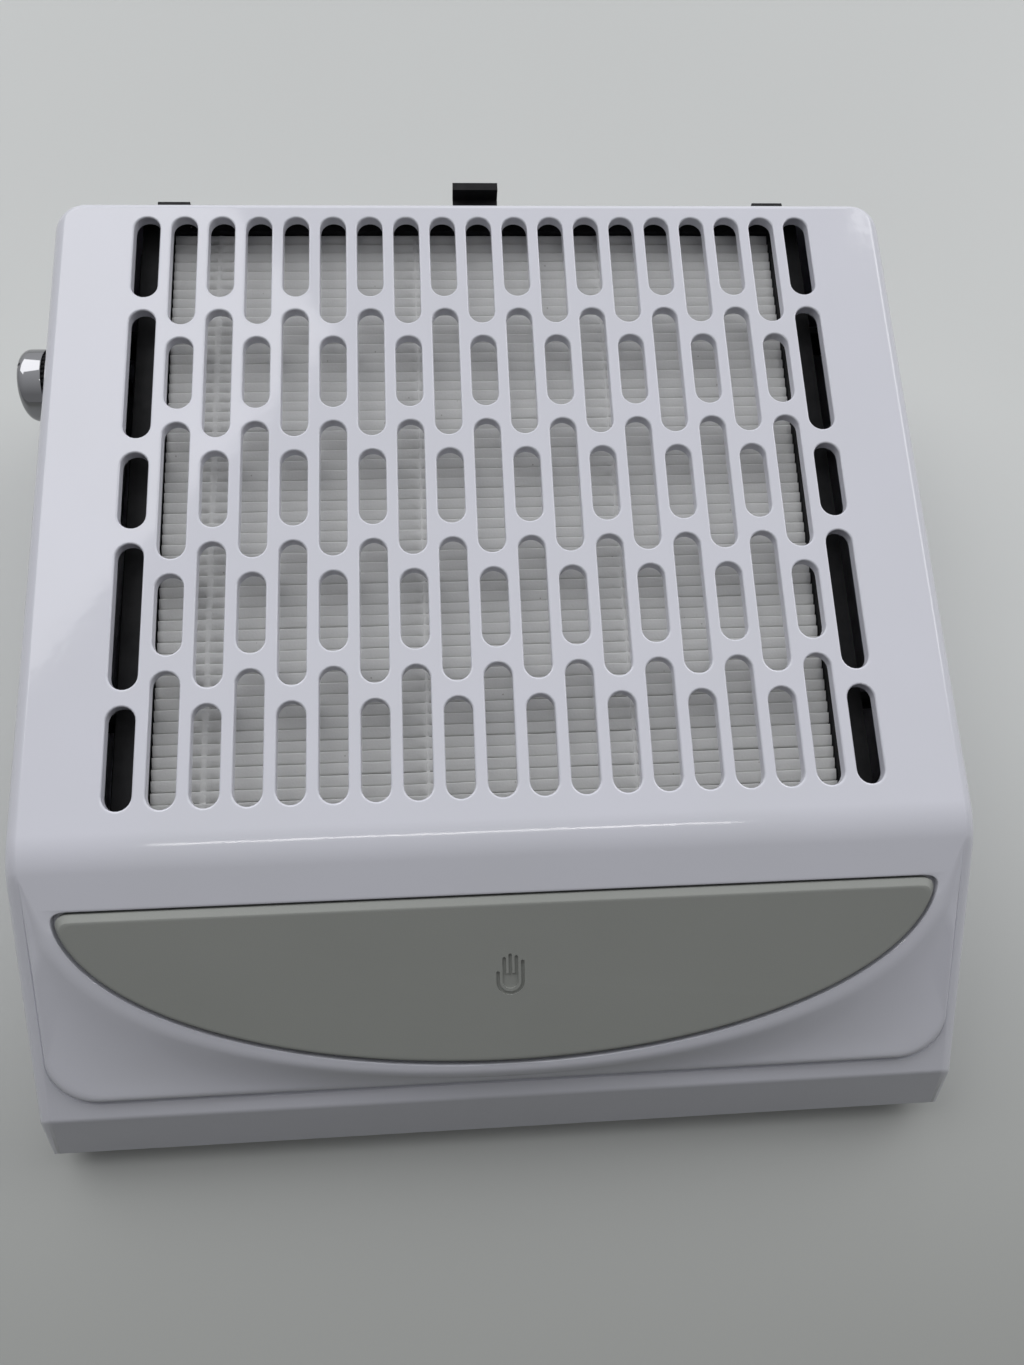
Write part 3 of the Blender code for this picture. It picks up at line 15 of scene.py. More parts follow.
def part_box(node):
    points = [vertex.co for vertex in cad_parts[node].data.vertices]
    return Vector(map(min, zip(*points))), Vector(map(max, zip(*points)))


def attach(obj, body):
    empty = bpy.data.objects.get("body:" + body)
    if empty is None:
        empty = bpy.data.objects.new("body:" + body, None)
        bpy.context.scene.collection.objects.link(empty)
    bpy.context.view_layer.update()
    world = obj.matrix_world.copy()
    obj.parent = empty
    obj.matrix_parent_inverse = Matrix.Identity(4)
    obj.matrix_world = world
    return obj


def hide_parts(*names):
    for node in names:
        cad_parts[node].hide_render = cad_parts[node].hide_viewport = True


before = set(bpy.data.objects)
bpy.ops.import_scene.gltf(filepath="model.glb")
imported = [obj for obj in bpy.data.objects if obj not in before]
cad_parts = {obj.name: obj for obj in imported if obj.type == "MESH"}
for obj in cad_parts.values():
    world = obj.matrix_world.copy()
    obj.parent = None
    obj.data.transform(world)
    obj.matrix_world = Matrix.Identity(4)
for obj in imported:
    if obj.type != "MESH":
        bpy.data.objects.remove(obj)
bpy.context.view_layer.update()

# %% [markdown]
# ## Sizes and working frames
# The sizes repeat those of the CAD model. Three flat frames make the shapes easy to write: the case
# itself, the grille that tilts by six degrees, and the hand rest that slopes down to the front. The
# CAD centres the whole object, so the case's own origin is found from the cover's box.

# %% Sizes shared with the CAD
HALF_WIDTH = 0.1250
BACK_Y = 0.0950
BOTTOM_Z = 0.0080
EDGE_RADIUS = 0.0045
CORNER_RADIUS = 0.0090
WALL = 0.0026
GRILLE_THICKNESS = 0.0030
GRILLE_TILT = math.radians(6.0)
GRILLE_MID_Z = 0.078688
BEND_Y = -0.0975
BEND_Z = GRILLE_MID_Z + BEND_Y * math.tan(GRILLE_TILT)
BEND_RADIUS = 0.0250
REST_TILT = math.radians(29.0)
RIM_EDGE = (-0.158936, 0.025422)
SKIRT_FOOT = (-0.167124, 0.009)

cover_low, cover_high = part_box("top_cover")
CASE_SHIFT = Vector(((cover_low.x + cover_high.x) / 2.0, cover_high.y - BACK_Y, 0.0))
IN_CASE = Matrix.Translation(CASE_SHIFT)
ON_GRILLE = IN_CASE @ Matrix.Translation((0.0, 0.0, GRILLE_MID_Z)) @ Matrix.Rotation(GRILLE_TILT, 4, "X")
ON_REST = IN_CASE @ Matrix.Translation((0.0, BEND_Y, BEND_Z)) @ Matrix.Rotation(REST_TILT, 4, "X")
print("case origin in the frame", [round(v, 5) for v in CASE_SHIFT])

# %% [markdown]
# ## Camera
# The picture was taken from above the front edge, looking down and back. The place, the direction and
# the lens were solved from the flat, regular pattern of slots, so they are written as measured.

# %% Camera
CAMERA_PLACE = Vector((-0.01493, -0.1548, 0.3242))
CAMERA_LENS = 27.03
SENSOR_WIDTH = 36.0
camera_right = Vector((0.99723, -0.05239, 0.05288))
camera_up = Vector((0.02963, 0.93104, 0.36371))
camera_back = camera_right.cross(camera_up)
camera = bpy.data.objects.new("camera", bpy.data.cameras.new("camera"))
bpy.context.scene.collection.objects.link(camera)
turn = Matrix((camera_right, camera_up, camera_back)).transposed().to_4x4()
camera.matrix_world = Matrix.Translation(CASE_SHIFT + CAMERA_PLACE) @ turn
camera.data.sensor_width = SENSOR_WIDTH
camera.data.lens = CAMERA_LENS
camera.data.clip_start = 0.01
bpy.context.scene.camera = camera
bpy.context.scene.view_settings.view_transform = "Standard"
print("camera at", [round(v, 4) for v in camera.matrix_world.translation])

# %% [markdown]
# ## Node helpers
# A finish is a small tree of nodes round one Principled shader. Writing each node in one line, with its
# inputs by name, keeps the trees short enough to read.

# %% Node helpers
def node(tree, kind, inputs=None, **settings):
    made = tree.nodes.new("ShaderNode" + kind)
    for key, value in settings.items():
        setattr(made, key, value)
    for key, value in (inputs or {}).items():
        if isinstance(value, bpy.types.NodeSocket):
            tree.links.new(value, made.inputs[key])
        else:
            made.inputs[key].default_value = value
    return made


def mix_colour(tree, factor, first, second):
    mixed = node(tree, "Mix", data_type="RGBA")
    for index, value in ((0, factor), (6, first), (7, second)):
        if isinstance(value, bpy.types.NodeSocket):
            tree.links.new(value, mixed.inputs[index])
        else:
            mixed.inputs[index].default_value = value if index == 0 else (*value, 1.0)
    return mixed.outputs[2]


def new_group(name, inputs, outputs):
    tree = bpy.data.node_groups.new(name, "ShaderNodeTree")
    for label, value in inputs:
        socket = tree.interface.new_socket(name=label, in_out="INPUT", socket_type="NodeSocketFloat")
        socket.default_value = value
    for label in outputs:
        tree.interface.new_socket(name=label, in_out="OUTPUT", socket_type="NodeSocketFloat")
    return tree, tree.nodes.new("NodeGroupInput").outputs, tree.nodes.new("NodeGroupOutput").inputs


def place_group(tree, group, **values):
    made = tree.nodes.new("ShaderNodeGroup")
    made.node_tree = group
    for key, value in values.items():
        made.inputs[key].default_value = value
    return made.outputs


# %% [markdown]
# ## Shared effects
# Four effects return in many finishes: the skin that a mould leaves on plastic, the uneven gloss of a
# thing that has been handled, edges rubbed lighter, and stray specks of dust. Each is a group built
# once. They read the object's own coordinates, so they hold still when a piece moves.

# %% Shared effect: moulded skin
moulded_skin, made_in, made_out = new_group("moulded_skin", (("Grain", 2500.0), ("Waves", 40.0)),
                                            ("Height", "Mottle"))
where = node(moulded_skin, "TexCoord").outputs["Object"]
fine = node(moulded_skin, "TexNoise", {"Vector": where, "Scale": made_in["Grain"], "Detail": 3.0})
broad = node(moulded_skin, "TexNoise", {"Vector": where, "Scale": made_in["Waves"], "Detail": 2.0})
moulded_skin.links.new(fine.outputs[0], made_out["Height"])
moulded_skin.links.new(broad.outputs[0], made_out["Mottle"])
print("group", moulded_skin.name)

# %% Shared effect: handled gloss
gloss_inputs = (("Low", 0.2), ("High", 0.3), ("Scale", 30.0))
handled_gloss, made_in, made_out = new_group("handled_gloss", gloss_inputs, ("Roughness",))
where = node(handled_gloss, "TexCoord").outputs["Object"]
smears = node(handled_gloss, "TexNoise", {"Vector": where, "Scale": made_in["Scale"], "Detail": 5.0,
                                          "Roughness": 0.62, "Distortion": 0.6})
ranged = node(handled_gloss, "MapRange", {"Value": smears.outputs[0], "From Min": 0.35, "From Max": 0.68,
                                          "To Min": made_in["Low"], "To Max": made_in["High"]})
handled_gloss.links.new(ranged.outputs[0], made_out["Roughness"])
print("group", handled_gloss.name)

# %% Shared effect: rubbed edges
rubbed_edges, made_in, made_out = new_group("rubbed_edges", (("Amount", 0.5),), ("Mask",))
sharpness = node(rubbed_edges, "NewGeometry").outputs["Pointiness"]
ranged = node(rubbed_edges, "MapRange", {"Value": sharpness, "From Min": 0.51, "From Max": 0.60,
                                         "To Max": made_in["Amount"]})
where = node(rubbed_edges, "TexCoord").outputs["Object"]
broken = node(rubbed_edges, "TexNoise", {"Vector": where, "Scale": 220.0, "Detail": 4.0})
kept = node(rubbed_edges, "Math", {0: ranged.outputs[0], 1: broken.outputs[0]}, operation="MULTIPLY")
rubbed_edges.links.new(kept.outputs[0], made_out["Mask"])
print("group", rubbed_edges.name)

# %% Shared effect: stray specks
speck_inputs = (("Scale", 90.0), ("Size", 0.03), ("Rarity", 0.9))
stray_specks, made_in, made_out = new_group("stray_specks", speck_inputs, ("Mask",))
where = node(stray_specks, "TexCoord").outputs["Object"]
cells = node(stray_specks, "TexVoronoi", {"Vector": where, "Scale": made_in["Scale"]})
distance = cells.outputs["Distance"]
close = node(stray_specks, "Math", {0: distance, 1: made_in["Size"]}, operation="LESS_THAN")
draw = node(stray_specks, "SeparateColor", {"Color": cells.outputs["Color"]})
rare = node(stray_specks, "Math", {0: draw.outputs[0], 1: made_in["Rarity"]}, operation="GREATER_THAN")
both = node(stray_specks, "Math", {0: close.outputs[0], 1: rare.outputs[0]}, operation="MULTIPLY")
stray_specks.links.new(both.outputs[0], made_out["Mask"])
print("group", stray_specks.name)

# %% [markdown]
# ## Finishes of the outside
# Each finish starts from the same three marks: a mottled base colour, an uneven gloss and a moulded
# height. What makes a glossy case differ from a satin hand rest is their values, so one function lays
# them down and returns the tree for what is special to a finish.

# %% Finish builder
def finish(name, colour, second, gloss, grain, waves=40.0, depth=0.00002, metallic=0.0, smear=30.0,
           edges=0.0, edge_colour=None, specks=None):
    """Principled finish with mottled colour, uneven gloss, moulded height, rubbed edges and specks."""
    material = bpy.data.materials.new(name)
    material.use_nodes = True
    material.diffuse_color = (*colour, 1.0)
    tree = material.node_tree
    shader = tree.nodes["Principled BSDF"]
    shader.inputs["Metallic"].default_value = metallic
    skin = place_group(tree, moulded_skin, Grain=grain, Waves=waves)
    base = mix_colour(tree, skin["Mottle"], colour, second)
    if edges > 0.0:
        rubbed = place_group(tree, rubbed_edges, Amount=edges)
        base = mix_colour(tree, rubbed["Mask"], base, edge_colour)
    if specks:
        base = mix_colour(tree, place_group(tree, stray_specks, **specks[1])["Mask"], base, specks[0])
    tree.links.new(base, shader.inputs["Base Color"])
    sheen = place_group(tree, handled_gloss, Low=gloss[0], High=gloss[1], Scale=smear)
    tree.links.new(sheen["Roughness"], shader.inputs["Roughness"])
    bump = node(tree, "Bump", {"Height": skin["Height"], "Strength": 1.0, "Distance": depth})
    tree.links.new(bump.outputs[0], shader.inputs["Normal"])
    return material


gloss_white = finish("gloss_white", (0.638, 0.638, 0.705), (0.610, 0.615, 0.662), (0.045, 0.09), 190.0,
                     waves=26.0, depth=0.000025, smear=22.0,
                     specks=((0.08, 0.08, 0.09), {"Scale": 70.0, "Size": 0.035, "Rarity": 0.985}))
satin_grey = finish("satin_grey", (0.248, 0.255, 0.238), (0.229, 0.236, 0.220), (0.46, 0.58), 3200.0,
                    waves=30.0, depth=0.00003, edges=0.35, edge_colour=(0.32, 0.33, 0.31))
satin_black = finish("satin_black", (0.007, 0.007, 0.008), (0.011, 0.011, 0.012), (0.42, 0.58), 2600.0,
                     depth=0.00003, edges=0.5, edge_colour=(0.045, 0.045, 0.046),
                     specks=((0.16, 0.16, 0.155), {"Scale": 160.0, "Size": 0.05, "Rarity": 0.975}))
chrome = finish("chrome", (0.31, 0.31, 0.32), (0.25, 0.25, 0.26), (0.04, 0.09), 900.0, depth=0.000001,
                metallic=1.0, smear=90.0)
satin_black.node_tree.nodes["Principled BSDF"].inputs["Specular IOR Level"].default_value = 0.08
print("finishes", [m.name for m in (gloss_white, satin_grey, satin_black, chrome)])

# %% [markdown]
# ## Finishes of the filter and the inside
# The filter is pale grey paper with short fibres, held by lines of clear glue. Under it are darker
# plastics and bright metals that show only when the cassette is out, and they get the same care.

# %% Paper and glue
filter_paper = finish("filter_paper", (0.70, 0.70, 0.69), (0.64, 0.64, 0.632), (0.84, 0.96), 1500.0,
                      waves=120.0, depth=0.00006,
                      specks=((0.44, 0.43, 0.41), {"Scale": 420.0, "Size": 0.10, "Rarity": 0.93}))
clear_glue = finish("clear_glue", (0.66, 0.66, 0.65), (0.61, 0.61, 0.60), (0.38, 0.54), 700.0,
                    waves=300.0, depth=0.00008)
print("finishes", filter_paper.name, clear_glue.name)

# %% Inside finishes
dark_plastic = finish("dark_plastic", (0.040, 0.041, 0.044), (0.052, 0.053, 0.056), (0.40, 0.56), 2200.0,
                      depth=0.00004, edges=0.4, edge_colour=(0.10, 0.10, 0.105))
fan_plastic = finish("fan_plastic", (0.085, 0.086, 0.092), (0.105, 0.106, 0.112), (0.36, 0.52), 1800.0,
                     depth=0.00003, edges=0.4, edge_colour=(0.19, 0.19, 0.20))
foot_rubber = finish("foot_rubber", (0.016, 0.016, 0.016), (0.024, 0.024, 0.024), (0.76, 0.92), 1400.0,
                     depth=0.00008,
                     specks=((0.10, 0.10, 0.10), {"Scale": 300.0, "Size": 0.07, "Rarity": 0.95}))
bright_steel = finish("bright_steel", (0.56, 0.56, 0.57), (0.49, 0.49, 0.50), (0.24, 0.40), 1600.0,
                      depth=0.000006, metallic=1.0, smear=120.0)
motor_steel = finish("motor_steel", (0.47, 0.48, 0.49), (0.40, 0.41, 0.42), (0.30, 0.46), 900.0,
                     depth=0.00001, metallic=1.0, smear=70.0)
wound_copper = finish("wound_copper", (0.52, 0.24, 0.12), (0.42, 0.18, 0.09), (0.28, 0.42), 2400.0,
                      depth=0.00005, metallic=1.0)
board_green = finish("board_green", (0.018, 0.120, 0.050), (0.030, 0.170, 0.075), (0.22, 0.36), 1200.0,
                     waves=420.0, depth=0.00003)
print("finishes", [m.name for m in (dark_plastic, fan_plastic, foot_rubber, bright_steel, motor_steel,
                                    wound_copper, board_green)])

# %% [markdown]
# ## Floor and light
# The object stands on a plain pale table. Its colour carries a painted shade that darkens it toward the
# front. Most of the light is a soft dome that glows behind and above, so the grille is bright and the front
# falls into shade. Two wide lamps
# behind, left and right, give the shadow its direction, and a thin strip above the front draws the sheen
# on the bend. The glow that lights the case differs from the room that shows in it, so that gloss and
# shade can be set apart.

# %% Floor
FLOOR_COLOURS = ((0.50, 0.51, 0.50), (0.54, 0.55, 0.54))
# Painted shade: the colour the table fades to toward the front, standing in for the shade in front of the
# object.
FLOOR_PAINTED_SHADE = (0.262, 0.267, 0.254)
FLOOR_FAR_Y = 0.02
FLOOR_NEAR_Y = -0.26
pale_table = bpy.data.materials.new("pale_table")
pale_table.use_nodes = True
tree = pale_table.node_tree
shader = tree.nodes["Principled BSDF"]
where = node(tree, "TexCoord").outputs["Object"]
clouds = node(tree, "TexNoise", {"Vector": where, "Scale": 3.0, "Detail": 3.0})
pale = mix_colour(tree, clouds.outputs[0], *FLOOR_COLOURS)
depth_axis = node(tree, "SeparateXYZ", {"Vector": where}).outputs["Y"]
# Share of the painted shade, rising from the far line to the near line in front of the object.
painted_shade_share = node(tree, "MapRange", {"Value": depth_axis, "From Min": FLOOR_FAR_Y, "From Max": FLOOR_NEAR_Y},
                interpolation_type="SMOOTHSTEP")
floor_with_painted_shade = mix_colour(tree, painted_shade_share.outputs[0], pale, FLOOR_PAINTED_SHADE)
tree.links.new(floor_with_painted_shade, shader.inputs["Base Color"])
shader.inputs["Roughness"].default_value = 0.55
shape = bmesh.new()
bmesh.ops.create_circle(shape, cap_ends=True, segments=96, radius=6.0)
floor_mesh = bpy.data.meshes.new("table_top")
shape.to_mesh(floor_mesh)
shape.free()
floor_mesh.materials.append(pale_table)
table_top = bpy.data.objects.new("table_top", floor_mesh)
bpy.context.scene.collection.objects.link(table_top)
print("floor", table_top.name)

# %% Lamps
CASE_MIDDLE = (0.0, 0.0, 0.05)
COOL_WHITE = (0.99, 0.99, 1.0)
WARM_WHITE = (1.0, 0.99, 0.97)


def soft_lamp(name, place, aim, width, depth, watts, colour):
    lamp = bpy.data.lights.new(name, "AREA")
    lamp.shape = "RECTANGLE"
    lamp.size = width
    lamp.size_y = depth
    lamp.energy = watts
    lamp.color = colour
    holder = bpy.data.objects.new(name, lamp)
    bpy.context.scene.collection.objects.link(holder)
    holder.location = place
    holder.rotation_euler = (Vector(aim) - Vector(place)).to_track_quat("-Z", "Y").to_euler()
    return holder


soft_lamp("lamp_left", (-0.92, 0.80, 1.34), CASE_MIDDLE, 1.2, 1.2, watts=10.2, colour=COOL_WHITE)
soft_lamp("lamp_right", (1.40, 0.80, 1.10), CASE_MIDDLE, 1.2, 1.2, watts=12.2, colour=COOL_WHITE)
soft_lamp("lamp_above", (0.0, -0.50, 1.70), (0.0, -0.06, 0.05), 1.1, 0.05, watts=1.5, colour=WARM_WHITE)

# %% World
DOME_CENTRE = Vector((0.0, 0.62, 0.78)).normalized()
DOME_GLOW = (0.03, 1.54)
ROOM_SHOWN = (0.36, 0.90)
world = bpy.data.worlds.new("pale_room")
bpy.context.scene.world = world
world.use_nodes = True
tree = world.node_tree
paths = node(tree, "LightPath").outputs
seen = node(tree, "Math", {0: paths["Is Camera Ray"], 1: paths["Is Glossy Ray"]}, operation="MAXIMUM")
seen = node(tree, "Math", {0: seen.outputs[0], 1: paths["Is Transmission Ray"]}, operation="MAXIMUM")
facing = node(tree, "VectorMath", {0: node(tree, "TexCoord").outputs["Generated"], 1: DOME_CENTRE},
              operation="DOT_PRODUCT")
glow = node(tree, "MapRange", {"Value": facing.outputs["Value"], "From Min": 0.50, "From Max": 1.0,
                               "To Min": DOME_GLOW[0], "To Max": DOME_GLOW[1]},
            interpolation_type="SMOOTHSTEP")
backdrop = node(tree, "MapRange", {"Value": facing.outputs["Value"], "From Min": -0.2, "From Max": 0.9,
                                   "To Min": ROOM_SHOWN[0], "To Max": ROOM_SHOWN[1]})
room = node(tree, "Mix", {0: seen.outputs[0], 2: glow.outputs[0], 3: backdrop.outputs[0]})
background = tree.nodes["Background"]
background.inputs["Color"].default_value = (0.96, 0.975, 1.0, 1.0)
tree.links.new(room.outputs[0], background.inputs["Strength"])
print("world", world.name)

# %% [markdown]
# ## Making pieces
# A piece is drawn as loops and faces in one of the working frames, then moved into the shared frame,
# dressed in a finish and set to ride on the body it belongs to. Cuts are Booleans that are applied at
# once, so what is left is one clean mesh. Weighted normals keep broad faces flat beside small roundings.

# %% Piece helpers
def loop_faces(shape, rings, closed=True):
    """Quads between neighbouring rings of equal length."""
    made = [[shape.verts.new(point) for point in ring] for ring in rings]
    count = len(rings[0])
    for low, high in zip(made, made[1:]):
        for i in range(count if closed else count - 1):
            j = (i + 1) % count
            shape.faces.new((low[i], low[j], high[j], high[i]))
    return made


def add_face(shape, points):
    return shape.faces.new([shape.verts.new(point) for point in points])


def layered(rings):
    """Closed solid through closed rings, with flat ends."""
    shape = bmesh.new()
    made = loop_faces(shape, rings)
    shape.faces.new(made[0])
    shape.faces.new(made[-1])
    return shape


def turned(profile, steps=64, wobble=None, ring_only=False):
    """Solid turned about Z from (radius, height) pairs, or a ring if the profile closes on itself."""
    rings = []
    for radius, height in profile:
        ring = []
        for i in range(steps):
            angle = 2.0 * math.pi * i / steps
            reach = radius if wobble is None else wobble(radius, height, angle)
            ring.append((reach * math.cos(angle), reach * math.sin(angle), height))
        rings.append(ring)
    if not ring_only:
        return layered(rings)
    shape = bmesh.new()
    loop_faces(shape, rings + rings[:1])
    return shape


def to_object(name, shape, place=IN_CASE):
    bmesh.ops.transform(shape, matrix=place, verts=shape.verts)
    bmesh.ops.remove_doubles(shape, verts=shape.verts, dist=2e-7)
    bmesh.ops.recalc_face_normals(shape, faces=shape.faces)
    mesh = bpy.data.meshes.new(name)
    shape.to_mesh(mesh)
    shape.free()
    piece = bpy.data.objects.new(name, mesh)
    bpy.context.scene.collection.objects.link(piece)
    return piece


def combine(piece, shape, place=IN_CASE, operation="DIFFERENCE"):
    tool = to_object(piece.name + "_tool", shape, place)
    step = piece.modifiers.new("combine", "BOOLEAN")
    step.operation = operation
    step.solver = "EXACT"
    step.object = tool
    graph = bpy.context.evaluated_depsgraph_get()
    piece.data = bpy.data.meshes.new_from_object(piece.evaluated_get(graph))
    piece.modifiers.clear()
    bpy.data.objects.remove(tool, do_unlink=True)


def dress(piece, material, body, nodes=(), crease=32.0):
    piece.data.materials.clear()
    piece.data.materials.append(material)
    piece.data.shade_smooth()
    piece.data.set_sharp_from_angle(angle=math.radians(crease))
    even = piece.modifiers.new("even_shading", "WEIGHTED_NORMAL")
    even.keep_sharp = True
    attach(piece, body)
    if nodes:
        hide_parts(*nodes)
    print(piece.name, "on", body, len(piece.data.polygons), "faces")
    return piece


# %% [markdown]
# ## Cover: the walls
# The white cover is one moulding. Its walls run round three sides with a softened edge at the top, half
# way between a rounding and a chamfer. The edge follows the side line: up the skirt, along the border
# beside the apron, round the bend and back along the grille. Stations on that line are enough to draw it.

# %% Side line of the cover
def toward(a, b, share):
    return tuple(p + (q - p) * share for p, q in zip(a, b))


def curve_through(start, corner, end, steps):
    """Points of a soft turn from start to end that leans to a corner."""
    return [toward(toward(start, corner, t), toward(corner, end, t), t) for t in
            [i / steps for i in range(steps + 1)]]


BEND_STEPS = 12
BEND_TANGENT = BEND_RADIUS * math.tan((REST_TILT - GRILLE_TILT) / 2.0)
bend_line = []
for i in range(BEND_STEPS + 1):
    angle = GRILLE_TILT + (REST_TILT - GRILLE_TILT) * i / BEND_STEPS
    bend_line.append((BEND_Y + BEND_TANGENT * math.cos(GRILLE_TILT)
                      - BEND_RADIUS * (math.sin(angle) - math.sin(GRILLE_TILT)),
                      BEND_Z + BEND_TANGENT * math.sin(GRILLE_TILT)
                      + BEND_RADIUS * (math.cos(angle) - math.cos(GRILLE_TILT))))
APRON_TOP = bend_line[-1]
APRON_RUN = math.dist(APRON_TOP, RIM_EDGE)
DOWN = ((RIM_EDGE[0] - APRON_TOP[0]) / APRON_RUN, (RIM_EDGE[1] - APRON_TOP[1]) / APRON_RUN)
OUT = Vector((0.0, DOWN[1], -DOWN[0]))
INNER = HALF_WIDTH - EDGE_RADIUS


def on_border(x, run):
    """Point on the border plane, a run down from the bend."""
    return Vector((x, APRON_TOP[0] + DOWN[0] * run, APRON_TOP[1] + DOWN[1] * run))


def on_platform(x, run):
    """Point on the rest platform, a run down from the sharp bend line."""
    return Vector((x, BEND_Y - run * math.cos(REST_TILT), BEND_Z - run * math.sin(REST_TILT)))


print("apron run", round(APRON_RUN, 5))

# %% Walls with a softened top edge
EDGE_FLAT = 0.5
LEAST_WALL = 0.0002


def plan_path(half_width, back, corner, depths, steps):
    """Plan points with outward normals from the front left, round the back, to the front right."""
    path = [(-half_width, y, -1.0, 0.0) for y in depths]
    for side in (-1.0, 1.0):
        for i in range(steps + 1):
            angle = math.radians(90.0) * i / steps
            nx, ny = -math.cos(angle), math.sin(angle)
            if side > 0.0:
                nx, ny = math.sin(angle), math.cos(angle)
            path.append((side * (half_width - corner) + corner * nx, back - corner + corner * ny, nx, ny))
    return path + [(half_width, y, 1.0, 0.0) for y in reversed(depths)]


def walls(half_width, back, corner, edge, drop_top, stations, bottom, rounds, corners):
    """Walls and softened edge, and the points that border the top, from front left to front right."""
    shape = bmesh.new()
    path = plan_path(half_width, back, corner, [station[0] for station in stations], corners)
    columns = []
    for i, (x, y, nx, ny) in enumerate(path):
        index = min(i, len(path) - 1 - i)
        beside = index < len(stations)
        inset = stations[index][2] if beside else edge
        drop = min(inset, stations[index][1] - bottom - LEAST_WALL) if beside else inset
        column = [Vector((x, y, bottom))]
        for k in range(rounds + 1):
            angle = math.radians(90.0) * k / rounds
            rounding = (1.0 - math.cos(angle), math.sin(angle))
            back_in, up = toward(rounding, (k / rounds, k / rounds), EDGE_FLAT)
            px = x - nx * inset * back_in
            py = y - ny * inset * back_in
            top = stations[index][1] if beside else GRILLE_MID_Z + py * math.tan(GRILLE_TILT) - drop_top
            column.append(Vector((px, py, top - drop * (1.0 - up))))
        columns.append(column)
    loop_faces(shape, columns, closed=False)
    add_face(shape, [column[0] for column in columns])
    add_face(shape, columns[0] + list(reversed(columns[-1])))
    return shape, [column[-1] for column in columns]


print("edge", round(EDGE_FLAT * 100), "per cent of the way from a rounding to a chamfer")

# %% [markdown]
# ## Cover: the sloping front
# The hand rest lies on a raised platform. From its edge, which echoes the rest's curve, a slightly hollow
# apron runs down to a small step, and outside the step a flat border runs to the rim. The edge and the step
# are matched point to point, so the apron is a loft: soft ridge, slight hollow, rounded step.

# %% Ridge and step lines
REST_HALF_WIDTH = 0.1127
REST_TOP = 0.0154
REST_CORNER = 0.0035
REST_ROUND = 0.0055
REST_DEPTH = 0.0411
REST_ARC_LIFT = 0.0052
REST_GAP = 0.0006
REST_ARC_GAP = 0.00025
REST_POCKET = 0.0026
COLLAR = 0.0030
RIM_WIDTH = 0.0045
STEP_RADIUS = 0.0130
RIDGE_SPANS = 36
SIDE_SPANS = 3
ARC_SPANS = 5
FINER = 4
LEAD_IN = 6
RIDGE_ROUND = 0.0024
RIDGE_SHARE = 0.3
RIDGE_ROWS = 5
APRON_HOLLOW = 0.035
APRON_ROWS = 9
APRON_FULL_SPAN = 0.010
STEP_HEIGHT = 0.0019
STEP_INSET = 0.0017
STEP_ROUND = 0.0034
STEP_ROWS = 5
STEP_FACE = 0.8
STEP_AT_SIDE = 0.4
STEP_GROOVE = ((0.92, -0.0004), (0.78, -0.0014), (0.34, -0.0014), (0.12, -0.0003))


def rest_arc(grow, share, start=REST_TOP + REST_CORNER):
    """Point (x, run) on the curved edge of the rest, from left at 0 to right at 1."""
    middle = REST_TOP + REST_CORNER - REST_ARC_LIFT
    deep = REST_DEPTH + REST_ARC_LIFT
    wide = REST_HALF_WIDTH / math.sqrt(1.0 - (REST_ARC_LIFT / deep) ** 2) + grow
    deep += grow
    first = math.asin((start - middle) / deep)
    angle = first + (math.pi - 2.0 * first) * share
    return -wide * math.cos(angle), middle + deep * math.sin(angle)


def ridge_at(i):
    return on_platform(*rest_arc(COLLAR + REST_GAP, i / RIDGE_SPANS))


def step_at(i):
    if i > RIDGE_SPANS / 2.0:
        mirrored = step_at(RIDGE_SPANS - i)
        return Vector((-mirrored.x, mirrored.y, mirrored.z))
    front = APRON_RUN - RIM_WIDTH
    corner = front - STEP_RADIUS
    first = corner / (SIDE_SPANS + 1)
    if i <= SIDE_SPANS:
        return on_border(-INNER, first + (corner - first) * i / SIDE_SPANS)
    if i <= SIDE_SPANS + ARC_SPANS:
        angle = math.radians(90.0) * (i - SIDE_SPANS) / ARC_SPANS
        x = -INNER + STEP_RADIUS * (1.0 - math.cos(angle))
        return on_border(x, corner + STEP_RADIUS * math.sin(angle))
    share = ridge_at(i).x / ridge_at(SIDE_SPANS + ARC_SPANS).x
    return on_border((-INNER + STEP_RADIUS) * share, front)


top_left = Vector((-INNER, *APRON_TOP))
top_right = Vector((INNER, *APRON_TOP))
marks = [i / FINER for i in range(RIDGE_SPANS * FINER + 1)]
lead = [j / LEAD_IN for j in range(LEAD_IN)]
ridge = [top_left.lerp(ridge_at(0), e) for e in lead] + [ridge_at(i) for i in marks]
ridge += [top_right.lerp(ridge_at(RIDGE_SPANS), e) for e in reversed(lead)]
step = [top_left.lerp(step_at(0), e) for e in lead] + [step_at(i) for i in marks]
step += [top_right.lerp(step_at(RIDGE_SPANS), e) for e in reversed(lead)]
print("front columns", len(ridge))

# %% Loft from the platform over the ridge and the apron to the border
PLATFORM_NORMAL = Vector((0.0, -math.sin(REST_TILT), math.cos(REST_TILT)))


def inward(line, i, normal):
    """Direction across a line, toward the middle of the front."""
    along = line[min(i + 1, len(line) - 1)] - line[max(i - 1, 0)]
    return normal.cross(along).normalized()


